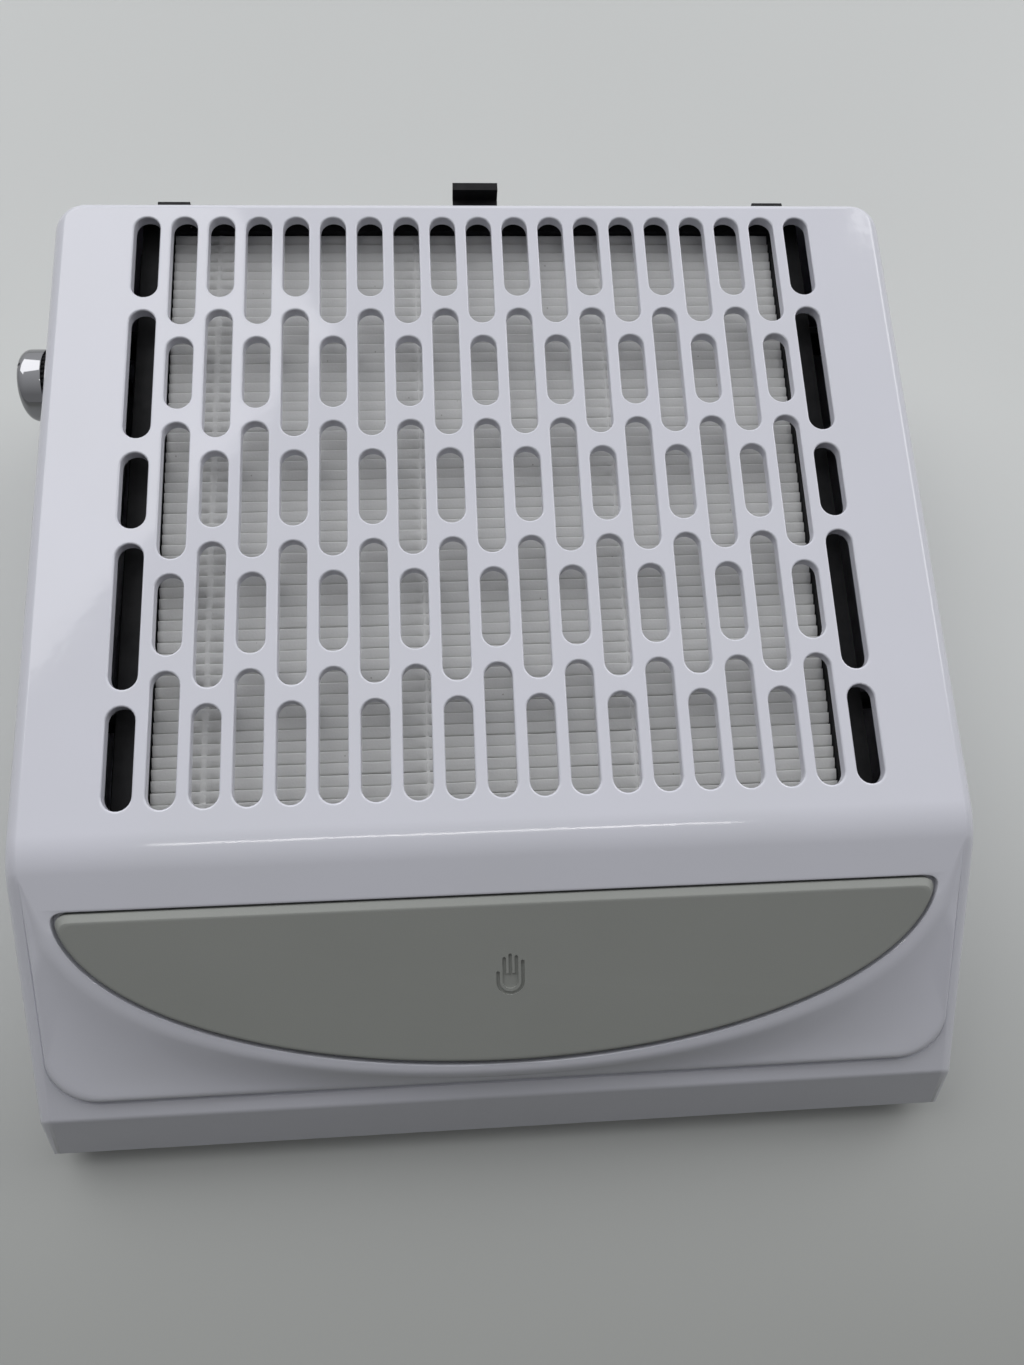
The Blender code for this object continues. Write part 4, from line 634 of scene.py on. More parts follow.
def apron_column(i):
    """Points from the platform to the border: soft ridge, hollow apron, rounded step, fine groove."""
    top, foot = ridge[i], step[i]
    span = (top - foot).length
    scale = min(1.0, span / APRON_FULL_SPAN)
    rise = OUT * STEP_HEIGHT * scale
    across = inward(step, i, OUT)
    facing = STEP_AT_SIDE + (1.0 - STEP_AT_SIDE) * max(0.0, across.y)
    inset = STEP_INSET * scale * facing
    brow = foot + across * inset + rise
    fall = (brow - top).normalized()
    dip = OUT * 4.0 * APRON_HOLLOW
    soft = min(RIDGE_ROUND, RIDGE_SHARE * span)
    begin = top + (fall - dip).normalized() * soft
    end = brow - (fall + dip).normalized() * STEP_ROUND * scale
    column = curve_through(top + inward(ridge, i, PLATFORM_NORMAL) * soft, top, begin, RIDGE_ROWS)
    hollow = OUT * APRON_HOLLOW * (end - begin).length
    for k in range(1, APRON_ROWS):
        share = k / APRON_ROWS
        column.append(begin.lerp(end, share) - hollow * 4.0 * share * (1.0 - share))
    column += curve_through(end, brow, brow - rise * STEP_FACE, STEP_ROWS)
    for reach, deep in STEP_GROOVE:
        column.append(foot + across * inset * reach + OUT * deep * scale * facing ** 2)
    return [Vector(point) for point in column] + [foot]


columns = [apron_column(i) for i in range(len(ridge))]
print("apron rows", len(columns[0]))

# %% Outline of the hand rest
def rest_outline(top_grow, arc_grow, arc_steps=112, corner_steps=8):
    """Outline (x, run) on the rest plane, its straight edge uphill, from right to left."""
    top = REST_TOP - top_grow
    arc = [rest_arc(arc_grow, 1.0 - i / arc_steps, top + REST_ROUND) for i in range(arc_steps + 1)]
    (end, foot), (near, low) = arc[:2]
    knee = end + REST_ROUND * (end - near) / (low - foot)
    side = curve_through((knee - REST_ROUND, top), (knee, top), (end, foot), corner_steps)[:-1]
    return side + arc + [(-x, run) for x, run in reversed(side)]


def rest_ring(top_grow, arc_grow, rise):
    """The outline as points in the case frame, at a rise above the platform."""
    return [on_platform(x, run) + PLATFORM_NORMAL * rise for x, run in rest_outline(top_grow, arc_grow)]


POCKET_ROUND = 0.00035
pocket_rings = []
for grow, rise in ((REST_GAP + POCKET_ROUND, 0.0), (REST_GAP + 0.3 * POCKET_ROUND, -0.3 * POCKET_ROUND),
                   (REST_GAP, -POCKET_ROUND), (REST_GAP, -REST_POCKET)):
    pocket_rings.append(rest_ring(grow, grow + REST_ARC_GAP, rise))
print("pocket points", len(pocket_rings[0]))

# %% Outer form of the cover
RIM_ROUND = 0.0009
RIM_STEPS = 4
SKIRT_ROUND = 0.0020
SAME_POINT = 1e-7


def side_stations():
    """Stations up the side line from the skirt's foot to the grille."""
    rim_low = toward(RIM_EDGE, SKIRT_FOOT, RIM_ROUND / math.dist(RIM_EDGE, SKIRT_FOOT))
    rim_high = toward(RIM_EDGE, APRON_TOP, RIM_ROUND / APRON_RUN)
    rim = curve_through(rim_low, RIM_EDGE, rim_high, RIM_STEPS)
    beside = [step_at(i) for i in marks if i <= SIDE_SPANS]
    beside = [top_left.lerp(step_at(0), e) for e in lead[1:]] + beside
    stations = [(*SKIRT_FOOT, SKIRT_ROUND)] + [(*point, EDGE_RADIUS) for point in rim]
    stations += [(point.y, point.z, EDGE_RADIUS) for point in reversed(beside)]
    return stations + [(*point, EDGE_RADIUS) for point in reversed(bend_line)], len(rim)


def cover_form():
    stations, rim_count = side_stations()
    shape, border = walls(HALF_WIDTH, BACK_Y, CORNER_RADIUS, EDGE_RADIUS, 0.0, stations, BOTTOM_Z,
                          rounds=7, corners=10)
    last = len(border) - 1
    bend_end = len(stations) - 1
    bend_start = bend_end - len(bend_line) + 1
    for i in list(range(rim_count)) + list(range(bend_start, bend_end)):
        add_face(shape, (border[i], border[i + 1], border[last - i - 1], border[last - i]))
    add_face(shape, border[bend_end:last - bend_end + 1])
    for left, right in zip(columns, columns[1:]):
        for quad in zip(left, right, right[1:], left[1:]):
            corners = [p for n, p in enumerate(quad) if (p - quad[n - 1]).length > SAME_POINT]
            if len(corners) > 2:
                add_face(shape, corners)
    first = LEAD_IN + SIDE_SPANS * FINER
    foot_line = [column[-1] for column in columns[first:len(columns) - first]]
    add_face(shape, foot_line + [border[last - rim_count], border[rim_count]])
    outer = [column[0] for column in columns]
    flat = [Vector((p.x, -p.y, 0.0)) for p in outer]
    hole = [Vector((p.x, -p.y, 0.0)) for p in pocket_rings[0]]
    points = outer + pocket_rings[0]
    for a, b, c in geometry.tessellate_polygon([flat, hole]):
        add_face(shape, (points[a], points[b], points[c]))
    made = loop_faces(shape, pocket_rings)
    shape.faces.new(made[-1])
    return shape


cover = to_object("cover", cover_form())
print("outer form", len(cover.data.vertices), "points")

# %% [markdown]
# ## Cover: hollow, slots and openings
# The hollow follows the outer form one wall inside, with more left under the apron. The slots are cut next.
# Ninety-five of them stand in nineteen staggered columns, and their cutters flare at the top, so each slot
# gets a rounded lip. The openings and the screw bosses come last.

# %% Hollow of the cover
APRON_THICKNESS = 0.0050
HOLLOW_BELOW = 0.0040
HOLLOW_FOOT = 0.0010
HOLLOW_FOOT_ROUND = 0.0005
SKIRT_LEAN = math.tan(math.radians(26.5))
SLOPE = DOWN[1] / DOWN[0]
APRON_DROP = APRON_THICKNESS * math.hypot(1.0, SLOPE)
SKIRT_SIDE = WALL * math.hypot(1.0, SKIRT_LEAN)


def skirt_inside(z):
    return RIM_EDGE[0] + (z - RIM_EDGE[1]) * SKIRT_LEAN + SKIRT_SIDE


def hollow_form():
    knee_z = RIM_EDGE[1] + (SKIRT_SIDE * SLOPE - APRON_DROP) / (1.0 - SKIRT_LEAN * SLOPE)
    drop = GRILLE_THICKNESS / math.cos(GRILLE_TILT)
    bottom = BOTTOM_Z - HOLLOW_BELOW
    foot_z = bottom + HOLLOW_FOOT
    line = APRON_TOP[1] - APRON_TOP[0] * SLOPE - APRON_DROP
    turn_y = (line - GRILLE_MID_Z + drop) / (math.tan(GRILLE_TILT) - SLOPE)
    turn_z = GRILLE_MID_Z + turn_y * math.tan(GRILLE_TILT) - drop
    radius = EDGE_RADIUS - WALL
    stations = [(skirt_inside(foot_z), foot_z, HOLLOW_FOOT_ROUND), (skirt_inside(knee_z), knee_z, radius),
                (turn_y, turn_z, radius)]
    shape, border = walls(HALF_WIDTH - WALL, BACK_Y - WALL, CORNER_RADIUS - WALL, radius, drop, stations,
                          bottom, rounds=3, corners=8)
    last = len(border) - 1
    for i in range(2):
        add_face(shape, (border[i], border[i + 1], border[last - i - 1], border[last - i]))
    add_face(shape, border[2:last - 1])
    return shape


combine(cover, hollow_form())
print("hollowed", len(cover.data.polygons), "faces")

# %% Intake slots
SLOT_COLUMNS = 19
SLOT_PITCH = 0.0108
SLOT_WIDTH = 0.0075
SLOT_BRIDGE = 0.0045
SLOT_FIELD = 0.08775
SLOT_LIP = 0.00055
LIP_STEPS = 4
OVERCUT = 0.0010
SLOTS_ODD = (0.0270, 0.0405, 0.0225, 0.0405, 0.0270)
SLOTS_EVEN = (0.0360, 0.0225, 0.0405, 0.0225, 0.0360)


def slot_ring(x, low, high, grow, height, steps=11):
    radius = SLOT_WIDTH / 2.0 + grow
    ring = []
    for middle, start in ((high - SLOT_WIDTH / 2.0, 0.0), (low + SLOT_WIDTH / 2.0, math.pi)):
        for i in range(steps + 1):
            angle = start + math.pi * i / steps
            ring.append((x + radius * math.cos(angle), middle + radius * math.sin(angle), height))
    return ring


def slot_cutters():
    turns = [math.radians(90.0) * k / LIP_STEPS for k in range(LIP_STEPS + 1)]
    lip = [(SLOT_LIP * (1.0 - math.cos(turn)), -SLOT_LIP * (1.0 - math.sin(turn))) for turn in turns]
    levels = [(0.0, -GRILLE_THICKNESS - OVERCUT)] + lip + [(SLOT_LIP, OVERCUT)]
    outermost = SLOT_COLUMNS // 2
    shape = bmesh.new()
    for column in range(-outermost, outermost + 1):
        low = -SLOT_FIELD
        for length in SLOTS_ODD if column % 2 else SLOTS_EVEN:
            made = loop_faces(shape, [slot_ring(column * SLOT_PITCH, low, low + length, grow, height)
                                      for grow, height in levels])
            shape.faces.new(made[0])
            shape.faces.new(made[-1])
            low += length + SLOT_BRIDGE
    return shape


combine(cover, slot_cutters(), ON_GRILLE)
print("slotted", len(cover.data.polygons), "faces")

# %% Openings at the rear and the left, and the screw bosses
def block(low, high):
    corners = ((low[0], low[1]), (high[0], low[1]), (high[0], high[1]), (low[0], high[1]))
    return layered([[(x, y, z) for x, y in corners] for z in (low[2], high[2])])


def rod(radius, low, high, steps=40):
    return turned(((radius, low), (radius, high)), steps)


CASSETTE_HALF_WIDTH = 0.1010
CASSETTE_FLOOR = -0.0258
CASSETTE_ROOF = -0.0088
MOUTH_GAP = 0.0006
MOUTH_DEPTH = (0.0875, 0.1050)
DUCT_ACROSS = (0.048261, 0.0860)
DUCT_HEIGHT = (0.0105, 0.0360)
SOCKET_HOLE = 0.0063
SHAFT_HOLE = 0.0041
HOLE_DEPTH = 0.0100
SCREW_X = 0.1155
SCREW_ROWS = (-0.132936, 0.0800)
BOSS_PROFILE = ((0.0017, 0.0123), (0.0045, 0.0123), (0.0045, 0.0270), (0.0017, 0.0270))
KNOB_PLACE = Vector((-HALF_WIDTH, 0.0463, 0.063455))
SOCKET_PLACE = Vector((-0.0700, BACK_Y, 0.0240))
FACING_LEFT = Matrix.Rotation(math.radians(-90.0), 4, "Y")
FACING_BACK = Matrix.Rotation(math.radians(-90.0), 4, "X")
ON_SOCKET = IN_CASE @ Matrix.Translation(SOCKET_PLACE) @ FACING_BACK
ON_KNOB = IN_CASE @ Matrix.Translation(KNOB_PLACE) @ FACING_LEFT
mouth_half = CASSETTE_HALF_WIDTH + MOUTH_GAP
combine(cover, block((-mouth_half, MOUTH_DEPTH[0], CASSETTE_FLOOR - MOUTH_GAP),
                     (mouth_half, MOUTH_DEPTH[1], CASSETTE_ROOF + MOUTH_GAP)), ON_GRILLE)
combine(cover, block((DUCT_ACROSS[0], BACK_Y - WALL - OVERCUT, DUCT_HEIGHT[0]),
                     (DUCT_ACROSS[1], BACK_Y + OVERCUT, DUCT_HEIGHT[1])))
combine(cover, rod(SOCKET_HOLE, -HOLE_DEPTH, HOLE_DEPTH), ON_SOCKET)
combine(cover, rod(SHAFT_HOLE, -HOLE_DEPTH, HOLE_DEPTH), ON_KNOB)
for x in (-SCREW_X, SCREW_X):
    for y in SCREW_ROWS:
        boss = turned(BOSS_PROFILE, 20, ring_only=True)
        combine(cover, boss, IN_CASE @ Matrix.Translation((x, y, 0.0)), "UNION")
dress(cover, gloss_white, "case", ("top_cover",))

# %% [markdown]
# ## Hand rest
# The rest is a satin grey panel that sits in its pocket with a thin dark gap all round. A flat bevel runs
# along its edge, and a small hand is sunk into its middle. The panel is a stack of outlines, and the hand
# is cut with short strokes that have round ends.

# %% Hand rest panel
REST_LEVELS = ((0.0, 0.0, -0.0023), (0.0, 0.0, -0.0004), (-0.0001, -0.0001, -0.00014),
               (-0.00036, -0.0003, 0.00004), (-0.0015, -0.0009, 0.00104), (-0.0018, -0.0012, 0.00116),
               (-0.0023, -0.0017, 0.00120))
hand_rest = to_object("hand_rest", layered([rest_ring(*level) for level in REST_LEVELS]))
print("hand rest", len(hand_rest.data.vertices), "points")

# %% Sunk hand
HAND_MIDDLE = Vector((0.00045, -0.0360, 0.0))
PALM_RADIUS = 0.00205
PALM_CENTRE = -0.0017
PALM_TOP = 0.00035
PALM_DEPTH = 0.00052
FINGER_FOOT = 0.0001
FINGER_KNUCKLE = 0.0020
FINGER_TIPS = ((-0.00156, 0.0043), (0.0, 0.0052), (0.00156, 0.0047))
FINGER_DEPTH = 0.00060
CUP_RADIUS = 0.0032
CUP_CENTRE = -0.0018
CUP_RIGHT = (0.0034, 0.0008)
CUP_LEFT = 0.0006
CUP_DEPTH = 0.00060
STROKE = 0.00046
ROUND_END_STEPS = 8
FACE_Z = REST_LEVELS[-1][2]
CUT_TOP = 0.0030


def stroke_outline(path, half):
    """Outline round an open path, with round ends."""
    sides = []
    for i, point in enumerate(path):
        along = (path[min(i + 1, len(path) - 1)] - path[max(i - 1, 0)]).normalized()
        sides.append((point, Vector((-along.y, along.x, 0.0)), along))
    outline = [p + across * half for p, across, along in sides]
    for (p, across, along), sign in ((sides[-1], 1.0), (sides[0], -1.0)):
        for k in range(1, ROUND_END_STEPS):
            angle = math.pi * k / ROUND_END_STEPS
            outline.append(p + (across * math.cos(angle) + along * math.sin(angle)) * sign * half)
        if sign > 0.0:
            outline += [q - side * half for q, side, way in reversed(sides)]
    return outline


def sink(outline, depth):
    """Cut an outline into the face of the rest."""
    rings = [[(p.x, p.y, z) for p in outline] for z in (FACE_Z - depth, CUT_TOP)]
    combine(hand_rest, layered(rings), ON_REST)


def on_hand(x, y):
    """Point on the rest's face, measured from the hand's middle."""
    return HAND_MIDDLE + Vector((x, y, 0.0))


def hand_arc(radius, centre, steps):
    """Lower half of a circle, from right to left."""
    angles = [-math.pi * k / steps for k in range(steps + 1)]
    return [on_hand(radius * math.cos(a), centre + radius * math.sin(a)) for a in angles]


palm = hand_arc(PALM_RADIUS, PALM_CENTRE, 16)
sink([on_hand(PALM_RADIUS, PALM_TOP)] + palm + [on_hand(-PALM_RADIUS, PALM_TOP)], PALM_DEPTH)
for x, tip in FINGER_TIPS:
    finger = [on_hand(x, y) for y in (FINGER_FOOT, FINGER_KNUCKLE, tip)]
    sink(stroke_outline(finger, STROKE), FINGER_DEPTH)
cup = [on_hand(CUP_RADIUS, y) for y in CUP_RIGHT] + hand_arc(CUP_RADIUS, CUP_CENTRE, 24)
cup.append(on_hand(-CUP_RADIUS, CUP_LEFT))
sink(stroke_outline(cup, STROKE), CUP_DEPTH)
dress(hand_rest, satin_grey, "case", ("hand_rest_pad",), 20.0)

# %% [markdown]
# ## Filter paper
# The paper is folded into fifty-six close pleats that lean back a little, so each shows a smooth flank that
# rises to its crest. Lines of glue fill the valleys where they cross, and hold them open beside the line. A
# zigzag could be bent from a flat sheet, but writing the fold's profile row by row gives each pleat its own
# small lean and wave.

# %% Pleated paper
PAPER_FRONT = -0.088037
PAPER_BACK = 0.089597
PAPER_HALF_WIDTH = 0.0917
PAPER_TOP = -0.0102
PAPER_SHEET = 0.0011
PAPER_SPANS = 18
PLEATS = 56
PLEAT = (PAPER_BACK - PAPER_FRONT) / PLEATS
PLEAT_DEPTH = 0.0120
PLEAT_LEAN = 0.00024
PLEAT_WAVE = 0.00010
FOLD = ((0.0, -PLEAT_DEPTH), (0.02, -0.0040), (0.04, -0.0014), (0.07, -0.00086), (0.20, -0.00062),
        (0.40, -0.00036), (0.60, -0.00018), (0.80, -0.00005), (0.92, 0.0), (0.965, -0.00007),
        (0.985, -0.0010), (0.993, -0.0040))
GLUE_LINES = (-0.07815, -0.0192, 0.0368)
GLUE_SPREAD = 0.0011
GLUE_FILL = 0.95
GLUE_PULL = (0.0016, 0.0010, 0.0005)
PULL_ASIDE = 0.0024
PULL_SPREAD = 0.0012
PULL_FADE = 5
GLUE_CLEARING = 0.0048
GLUE_COLUMNS = (-0.0044, -0.0030, -0.0020, -0.0012, -0.0006, 0.0, 0.0006, 0.0012, 0.0020, 0.0030, 0.0044)


def glue_fill(x):
    """How far a glue line fills the valleys at x, from 0 to 1."""
    return max(math.exp(-((x - line) / GLUE_SPREAD) ** 2) for line in GLUE_LINES)


def glue_pull(x):
    """How far the glue opens the valleys beside it at x."""
    return sum(pull * math.exp(-((abs(x - line) - PULL_ASIDE) / PULL_SPREAD) ** 2)
               for line, pull in zip(GLUE_LINES, GLUE_PULL))


def paper_columns():
    """Places across the paper, closer together round the glue lines."""
    places = [-PAPER_HALF_WIDTH + 2.0 * PAPER_HALF_WIDTH * i / PAPER_SPANS for i in range(PAPER_SPANS + 1)]
    for line in GLUE_LINES:
        places = [x for x in places if abs(x - line) > GLUE_CLEARING]
        places += [line + offset for offset in GLUE_COLUMNS]
    return sorted(places)


def paper_point(x, pleat, share, depth):
    """Point on one pleat: share runs from valley to valley, and the valley itself doesn't lean."""
    lean = noise.noise(Vector((x * 22.0, pleat * 0.71, 3.0))) * PLEAT_LEAN if share > 0.0 else 0.0
    wave = noise.noise(Vector((x * 30.0, pleat * 1.37, 8.0))) * PLEAT_WAVE * (1.0 + depth / PLEAT_DEPTH)
    fill = glue_fill(x)
    y = PAPER_FRONT + (pleat + share) * PLEAT + lean * (1.0 - fill)
    sag = glue_pull(x) * (1.0 - share) ** PULL_FADE
    return Vector((x, y, PAPER_TOP + depth * (1.0 - GLUE_FILL * fill) + wave - sag))


paper_rows = []
across = paper_columns()
for pleat in range(PLEATS):
    for share, depth in FOLD:
        paper_rows.append([paper_point(x, pleat, share, depth) for x in across])
paper_rows.append([paper_point(x, PLEATS, *FOLD[0]) for x in across])
shape = bmesh.new()
under_rows = [[p - Vector((0.0, 0.0, PAPER_SHEET)) for p in row] for row in paper_rows]
loop_faces(shape, [row + list(reversed(low)) for row, low in zip(paper_rows, under_rows)])
for row, low in ((paper_rows[0], under_rows[0]), (paper_rows[-1], under_rows[-1])):
    loop_faces(shape, [row, low], closed=False)
pleated_paper = to_object("pleated_paper", shape, ON_GRILLE)
dress(pleated_paper, filter_paper, "filter", ("filter_media",), 75.0)

# %% [markdown]
# ## Glue lines
# Three lines of glue cross the pleats and keep them apart. Each is a soft ribbon that dips between the
# folds, so it is drawn as a chain of small oval rings that follow the paper.

# %% Glue lines
GLUE_HALF_WIDTHS = (0.00090, 0.00058, 0.00052)
GLUE_SINK = 0.00034
GLUE_DIP = 0.00010
GLUE_ABOVE = 0.00036
GLUE_BELOW = 0.00055
GLUE_WANDER = 0.00022
GLUE_SIDES = 10
GLUE_END = 0.0015
RINGS_PER_PLEAT = 4


def glue_ring(line, y, index):
    """Oval ring of one glue line, narrower and lower in the valleys."""
    beat = math.cos(2.0 * math.pi * (y - PAPER_FRONT) / PLEAT)
    wander = noise.noise(Vector((y * 60.0, index * 9.1, 0.0)))
    half = GLUE_HALF_WIDTHS[index] * (1.0 + 0.25 * wander - 0.12 * beat)
    middle = PAPER_TOP - GLUE_SINK - GLUE_DIP * beat
    ring = []
    for k in range(GLUE_SIDES):
        angle = 2.0 * math.pi * k / GLUE_SIDES
        high = GLUE_ABOVE if math.sin(angle) > 0.0 else GLUE_BELOW
        x = line + GLUE_WANDER * wander + half * math.cos(angle)
        ring.append((x, y, middle + high * math.sin(angle)))
    return ring


for index, line in enumerate(GLUE_LINES):
    count = PLEATS * RINGS_PER_PLEAT
    low = PAPER_FRONT + GLUE_END
    high = PAPER_BACK - GLUE_END
    rings = [glue_ring(line, low + (high - low) * i / count, index) for i in range(count + 1)]
    bead = to_object("glue_line_" + str(index + 1), layered(rings), ON_GRILLE)
    dress(bead, clear_glue, "filter", ("filter_bead_" + str(index + 1),), 60.0)

# %% [markdown]
# ## Softened pieces
# A moulded or stamped part never has a knife edge. Where the CAD shape is right, its mesh is copied, flat
# triangles are merged back into whole faces, and every sharp edge gets a small rounding that catches light.
# The cassette's frame is the first. Its two small ears behind the case are lowered a little afterwards.

# %% Softening a CAD shape
FLAT_ANGLE = math.radians(0.6)
SHARP_ANGLE = math.radians(30.0)
EAR_START = 0.0800
EAR_GAP = 0.0005
EAR_DROP = 0.0004


def soften(name, node_name, width, rounds=2):
    shape = bmesh.new()
    shape.from_mesh(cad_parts[node_name].data)
    bmesh.ops.remove_doubles(shape, verts=shape.verts, dist=1e-6)
    bmesh.ops.dissolve_limit(shape, angle_limit=FLAT_ANGLE, verts=shape.verts, edges=shape.edges)
    sharp = [e for e in shape.edges if len(e.link_faces) == 2 and e.calc_face_angle() > SHARP_ANGLE]
    bmesh.ops.bevel(shape, geom=sharp, offset=width, segments=rounds, profile=0.5, affect="EDGES",
                    clamp_overlap=True)
    return to_object(name, shape, Matrix.Identity(4))


cassette_frame = soften("cassette_frame", "filter_frame", 0.0005, 3)
for point in cassette_frame.data.vertices:
    place = IN_CASE.inverted() @ point.co
    if place.y > BACK_Y + EAR_GAP and abs(place.x) > EAR_START:
        point.co.z -= EAR_DROP
dress(cassette_frame, satin_black, "filter", ("filter_frame",))

# %% [markdown]
# ## Speed knob
# The knob is a bright plated cap with a full rounded edge and a shallow dish in its face, on a dark fluted
# grip. Both are turned about the shaft. A small notch in the rim shows where the knob stands.

# %% Knob cap
CAP_RADIUS = 0.0104
CAP_SHOULDER = 0.0080
CAP_ROUND = (0.0028, 0.0029)
CAP_ROUND_STEPS = 8
NOTCH_LOW = (0.0074, -0.0005, 0.0093)
NOTCH_HIGH = (0.0120, 0.0005, 0.0120)
cap_profile = [(0.0101, 0.0046), (0.0101, 0.0036), (0.01025, 0.0035), (CAP_RADIUS, 0.0037),
               (CAP_RADIUS, CAP_SHOULDER)]
for k in range(1, CAP_ROUND_STEPS + 1):
    angle = math.radians(90.0) * k / CAP_ROUND_STEPS
    cap_profile.append((CAP_RADIUS - CAP_ROUND[0] * (1.0 - math.cos(angle)),
                        CAP_SHOULDER + CAP_ROUND[1] * math.sin(angle)))
cap_profile += [(0.0070, 0.01086), (0.0063, 0.01072), (0.0042, 0.01050), (0.0025, 0.01040),
                (0.0004, 0.01036)]
knob_cap = to_object("knob_cap", turned(cap_profile, 96), ON_KNOB)
combine(knob_cap, block(NOTCH_LOW, NOTCH_HIGH), ON_KNOB)
dress(knob_cap, chrome, "knob", ("speed_knob",), 40.0)

# %% Knob grip
FLUTES = 40
FLUTE_DEPTH = 0.00042
FLUTE_START = 0.0090


def fluted(radius, height, angle):
    if radius < FLUTE_START:
        return radius
    return radius - FLUTE_DEPTH * (0.5 + 0.5 * math.cos(FLUTES * angle)) ** 2


grip_profile = ((0.0033, 0.0033), (0.0068, 0.0033), (0.0068, 0.0010), (0.0095, 0.0010), (0.0099, 0.0013),
                (0.0099, 0.0039), (0.0096, 0.0042), (0.0033, 0.0042))
knob_grip = to_object("knob_grip_ring", turned(grip_profile, 320, fluted, ring_only=True), ON_KNOB)
dress(knob_grip, satin_black, "knob", ("knob_grip",))

# %% [markdown]
# ## Rear and underside
# The rear has the outlet's upright bars and a round supply socket. Underneath, a white tray closes the case
# on four rubber feet, with four screws in deep holes and a shallow bare recess in the middle.

# %% Outlet and supply socket
outlet_bars = soften("outlet_bars", "exhaust_louver", 0.0003)
dress(outlet_bars, dark_plastic, "case", ("exhaust_louver",))
socket_profile = ((0.0056, -0.0130), (0.0060, -0.0126), (0.0060, 0.0003), (0.0085, 0.0003),
                  (0.0085, 0.0013), (0.0082, 0.0017), (0.0078, 0.0018), (0.0040, 0.0018),
                  (0.0034, 0.0016), (0.0032, 0.0012), (0.0032, -0.0110))
socket = to_object("supply_socket", turned(socket_profile, 64), ON_SOCKET)
dress(socket, satin_black, "case", ("dc_jack",))
pin_profile = ((0.0011, -0.0112), (0.0011, -0.0066), (0.0008, -0.0061), (0.0004, -0.0060))
pin = to_object("socket_pin", turned(pin_profile, 24), ON_SOCKET)
dress(pin, bright_steel, "case")

# %% Tray
RECESS_LOW = (-0.0340, -0.0480, 0.0030)
RECESS_HIGH = (0.0340, -0.0120, 0.0040)
tray = soften("base_tray", "base_pan", 0.0003)
combine(tray, block(RECESS_LOW, RECESS_HIGH))
dress(tray, gloss_white, "case", ("base_pan",))

# %% Feet and screws
FOOT_X = 0.0960
FOOT_ROWS = (-0.126936, 0.0720)
CROSS_LONG = 0.0018
CROSS_SLIM = 0.00035
CROSS_HEIGHT = (0.0060, 0.0078)
foot_profile = ((0.0024, 0.0060), (0.0024, 0.0032), (0.0080, 0.0032), (0.0080, 0.0012), (0.00785, 0.0006),
                (0.0074, 0.0002), (0.0067, 0.0), (0.0056, 0.0), (0.0051, 0.0003), (0.0044, 0.0006),
                (0.0004, 0.0007))
screw_profile = ((0.0004, 0.0065), (0.0021, 0.0066), (0.0027, 0.0069), (0.0031, 0.0075), (0.0031, 0.0087),
                 (0.0014, 0.0087), (0.0014, 0.0217), (0.0003, 0.0226))
for end, foot_y, screw_y in zip(("front", "rear"), FOOT_ROWS, SCREW_ROWS):
    for hand, side in (("left", -1.0), ("right", 1.0)):
        place = end + "_" + hand
        foot = to_object("foot_" + place, turned(foot_profile, 48),
                         IN_CASE @ Matrix.Translation((side * FOOT_X, foot_y, 0.0)))
        dress(foot, foot_rubber, "case", ("rubber_foot_" + place,))
        here = IN_CASE @ Matrix.Translation((side * SCREW_X, screw_y, 0.0))
        screw = to_object("screw_" + place, turned(screw_profile, 32), here)
        for x, y in ((CROSS_LONG, CROSS_SLIM), (CROSS_SLIM, CROSS_LONG)):
            combine(screw, block((-x, -y, CROSS_HEIGHT[0]), (x, y, CROSS_HEIGHT[1])), here)
        dress(screw, bright_steel, "case", ("case_screw_" + place,))

# %% [markdown]
# ## Blower and the rest of the inside
# With the cassette out, the round guard and the blades of the blower show through the slots. The guard
# is rings and crossed bars, and the wheel is a disc with a dome, curved blades and a top ring. The pieces
# of each are joined into one mesh, as they are moulded in one.

# %% Guard
FAN_PLACE = IN_CASE @ Matrix.Translation((0.0, 0.0050, 0.0))
RING_ROUND = 0.0004
GUARD_RADIUS = 0.0480
GUARD_RINGS = (0.0180, 0.0330)
GUARD_BAR_LOW = (-0.0470, -0.0010, 0.0389)
GUARD_BAR_HIGH = (0.0470, 0.0010, 0.0403)


def rounded_ring(radius, wide, low, high, steps=72):
    soft = RING_ROUND
    inner = radius - wide / 2.0
    outer = radius + wide / 2.0
    profile = ((inner, low + soft), (inner + soft, low), (outer - soft, low), (outer, low + soft),
               (outer, high - soft), (outer - soft, high), (inner + soft, high), (inner, high - soft))
    return turned(profile, steps, ring_only=True)


guard = to_object("guard", rounded_ring(GUARD_RADIUS, wide=0.0040, low=0.0386, high=0.0406), FAN_PLACE)
for radius in GUARD_RINGS:
    inner_ring = rounded_ring(radius, wide=0.0020, low=0.0388, high=0.0404)
    combine(guard, inner_ring, FAN_PLACE, "UNION")
for degrees in (45.0, 135.0):
    crossed = FAN_PLACE @ Matrix.Rotation(math.radians(degrees), 4, "Z")
    combine(guard, block(GUARD_BAR_LOW, GUARD_BAR_HIGH), crossed, "UNION")
dress(guard, satin_black, "case", ("fan_guard",))

# %% Blade wheel
WHEEL_RADIUS = 0.0580
BLADE_INNER = 0.0470
BLADE_OUTER = WHEEL_RADIUS - 0.0004
BLADE_SWEEP = math.radians(14.0)
BLADE_HALF = 0.0006
BLADE_TAPER = 0.6
BLADE_STEPS = 8
BLADE_HEIGHTS = (0.0145, 0.0327)
BLADES = 20
TOP_RING_RADIUS = 0.0555


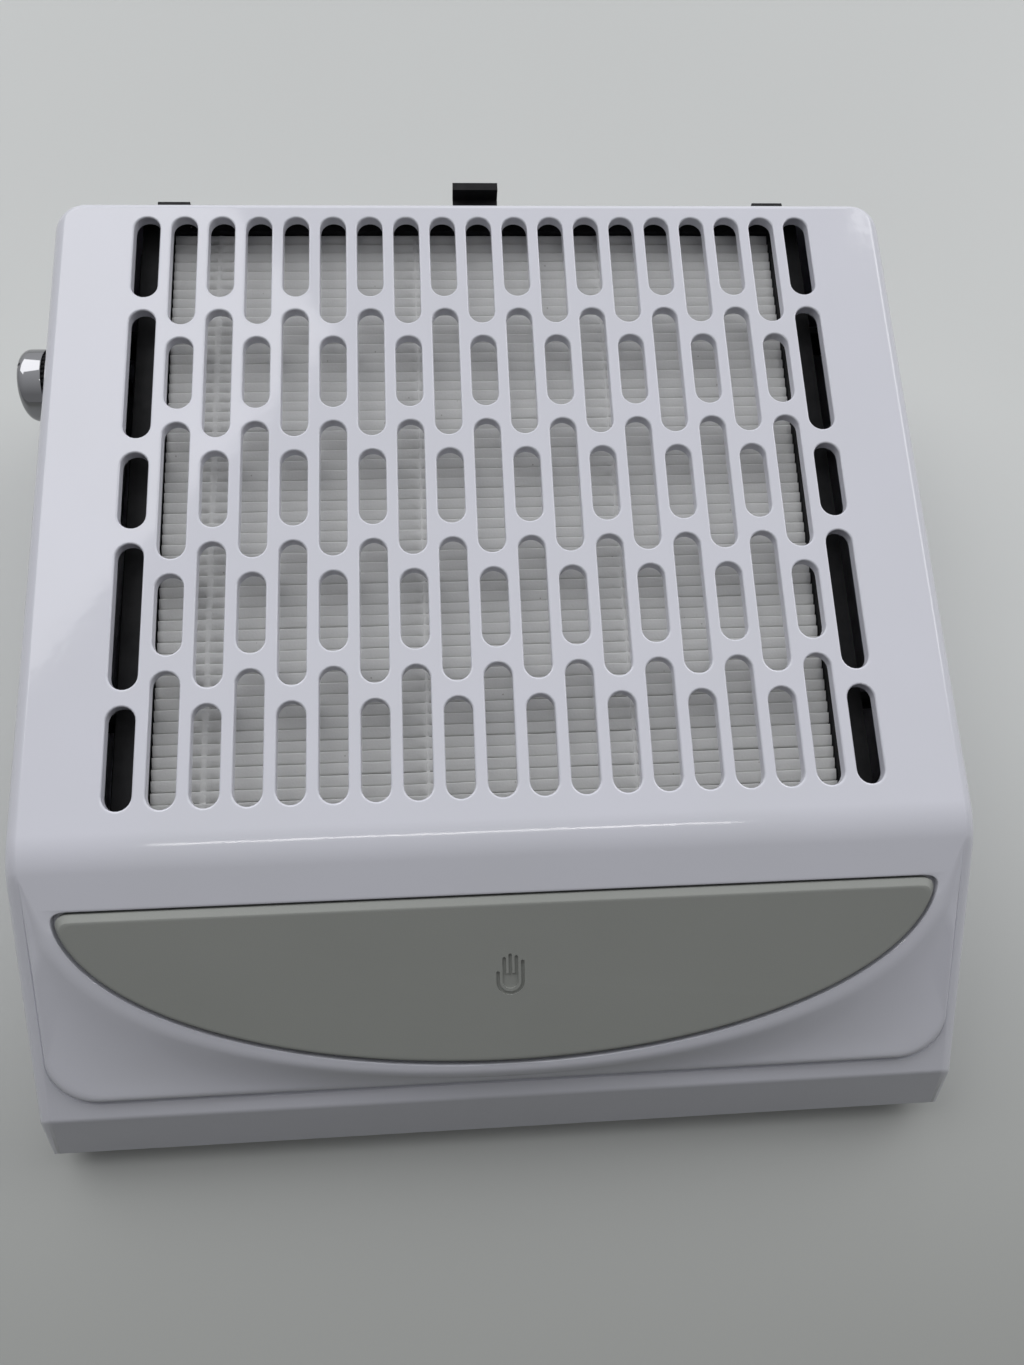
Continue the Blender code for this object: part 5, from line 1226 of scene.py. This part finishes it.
def blade_ring(turn_by, height):
    """Outline of one swept blade that thins toward both ends."""
    front = []
    back = []
    for i in range(BLADE_STEPS + 1):
        share = i / BLADE_STEPS
        radius = BLADE_INNER + (BLADE_OUTER - BLADE_INNER) * share
        angle = turn_by + BLADE_SWEEP * share * share
        half = BLADE_HALF * (1.0 - BLADE_TAPER * abs(2.0 * share - 1.0) ** 4) / radius
        front.append((radius * math.cos(angle + half), radius * math.sin(angle + half), height))
        back.append((radius * math.cos(angle - half), radius * math.sin(angle - half), height))
    return back + list(reversed(front))


hub_profile = ((WHEEL_RADIUS, 0.0135), (WHEEL_RADIUS, 0.0155), (0.0256, 0.0155), (0.0250, 0.0161),
               (0.0250, 0.0280), (0.0243, 0.0298), (0.0225, 0.0309), (0.0200, 0.0310), (0.0023, 0.0310),
               (0.0023, 0.0290), (0.0215, 0.0290), (0.0230, 0.0275), (0.0230, 0.0135))
wheel = to_object("blade_wheel", turned(hub_profile, 80, ring_only=True), FAN_PLACE)
blades = bmesh.new()
for i in range(BLADES):
    turn_by = 2.0 * math.pi * i / BLADES
    made = loop_faces(blades, [blade_ring(turn_by, height) for height in BLADE_HEIGHTS])
    blades.faces.new(made[0])
    blades.faces.new(made[-1])
combine(wheel, blades, FAN_PLACE, "UNION")
top_ring = rounded_ring(TOP_RING_RADIUS, wide=0.0050, low=0.0319, high=0.0335, steps=80)
combine(wheel, top_ring, FAN_PLACE, "UNION")
dress(wheel, fan_plastic, "fan", ("impeller",))

# %% Housing, rails and small hardware
for name, node_name, width, material, slot_name in (
        ("scroll_housing", "blower_housing", 0.0003, dark_plastic, "dark_plastic"),
        ("scroll_lid", "blower_lid", 0.0003, dark_plastic, "dark_plastic"),
        ("rail_left", "filter_rail_left", 0.0003, satin_black, "black_plastic"),
        ("rail_right", "filter_rail_right", 0.0003, satin_black, "black_plastic"),
        ("rail_stop", "filter_stop", 0.0003, satin_black, "black_plastic"),
        ("socket_nut", "jack_nut", 0.0002, bright_steel, "plain_steel"),
        ("shaft_nut", "potentiometer_nut", 0.0002, bright_steel, "plain_steel"),
        ("terminal", "board_terminal", 0.0004, dark_plastic, "dark_plastic"),
        ("capacitor", "board_capacitor", 0.0002, dark_plastic, "dark_plastic"),
        ("board", "control_board", 0.0002, board_green, "board_green")):
    dress(soften(name, node_name, width), material, "case", (node_name,))

# %% [markdown]
# ## Carried-over metal
# The motor, its bearings and the control's shaft sit deep inside, and their turned CAD shapes are right as
# they are. They only need their metals.

# %% Metals of the motor and the control
for node_name, material in (("motor_can", motor_steel), ("motor_end_plate", motor_steel),
                            ("bearing_lower", bright_steel), ("bearing_upper", bright_steel),
                            ("motor_rotor", wound_copper), ("motor_shaft", bright_steel),
                            ("motor_screw_1", bright_steel), ("motor_screw_2", bright_steel),
                            ("motor_screw_3", bright_steel), ("potentiometer_body", motor_steel),
                            ("potentiometer_shaft", bright_steel)):
    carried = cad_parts[node_name]
    carried.data.materials.clear()
    carried.data.materials.append(material)
    print("carried over", node_name, "in", material.name)
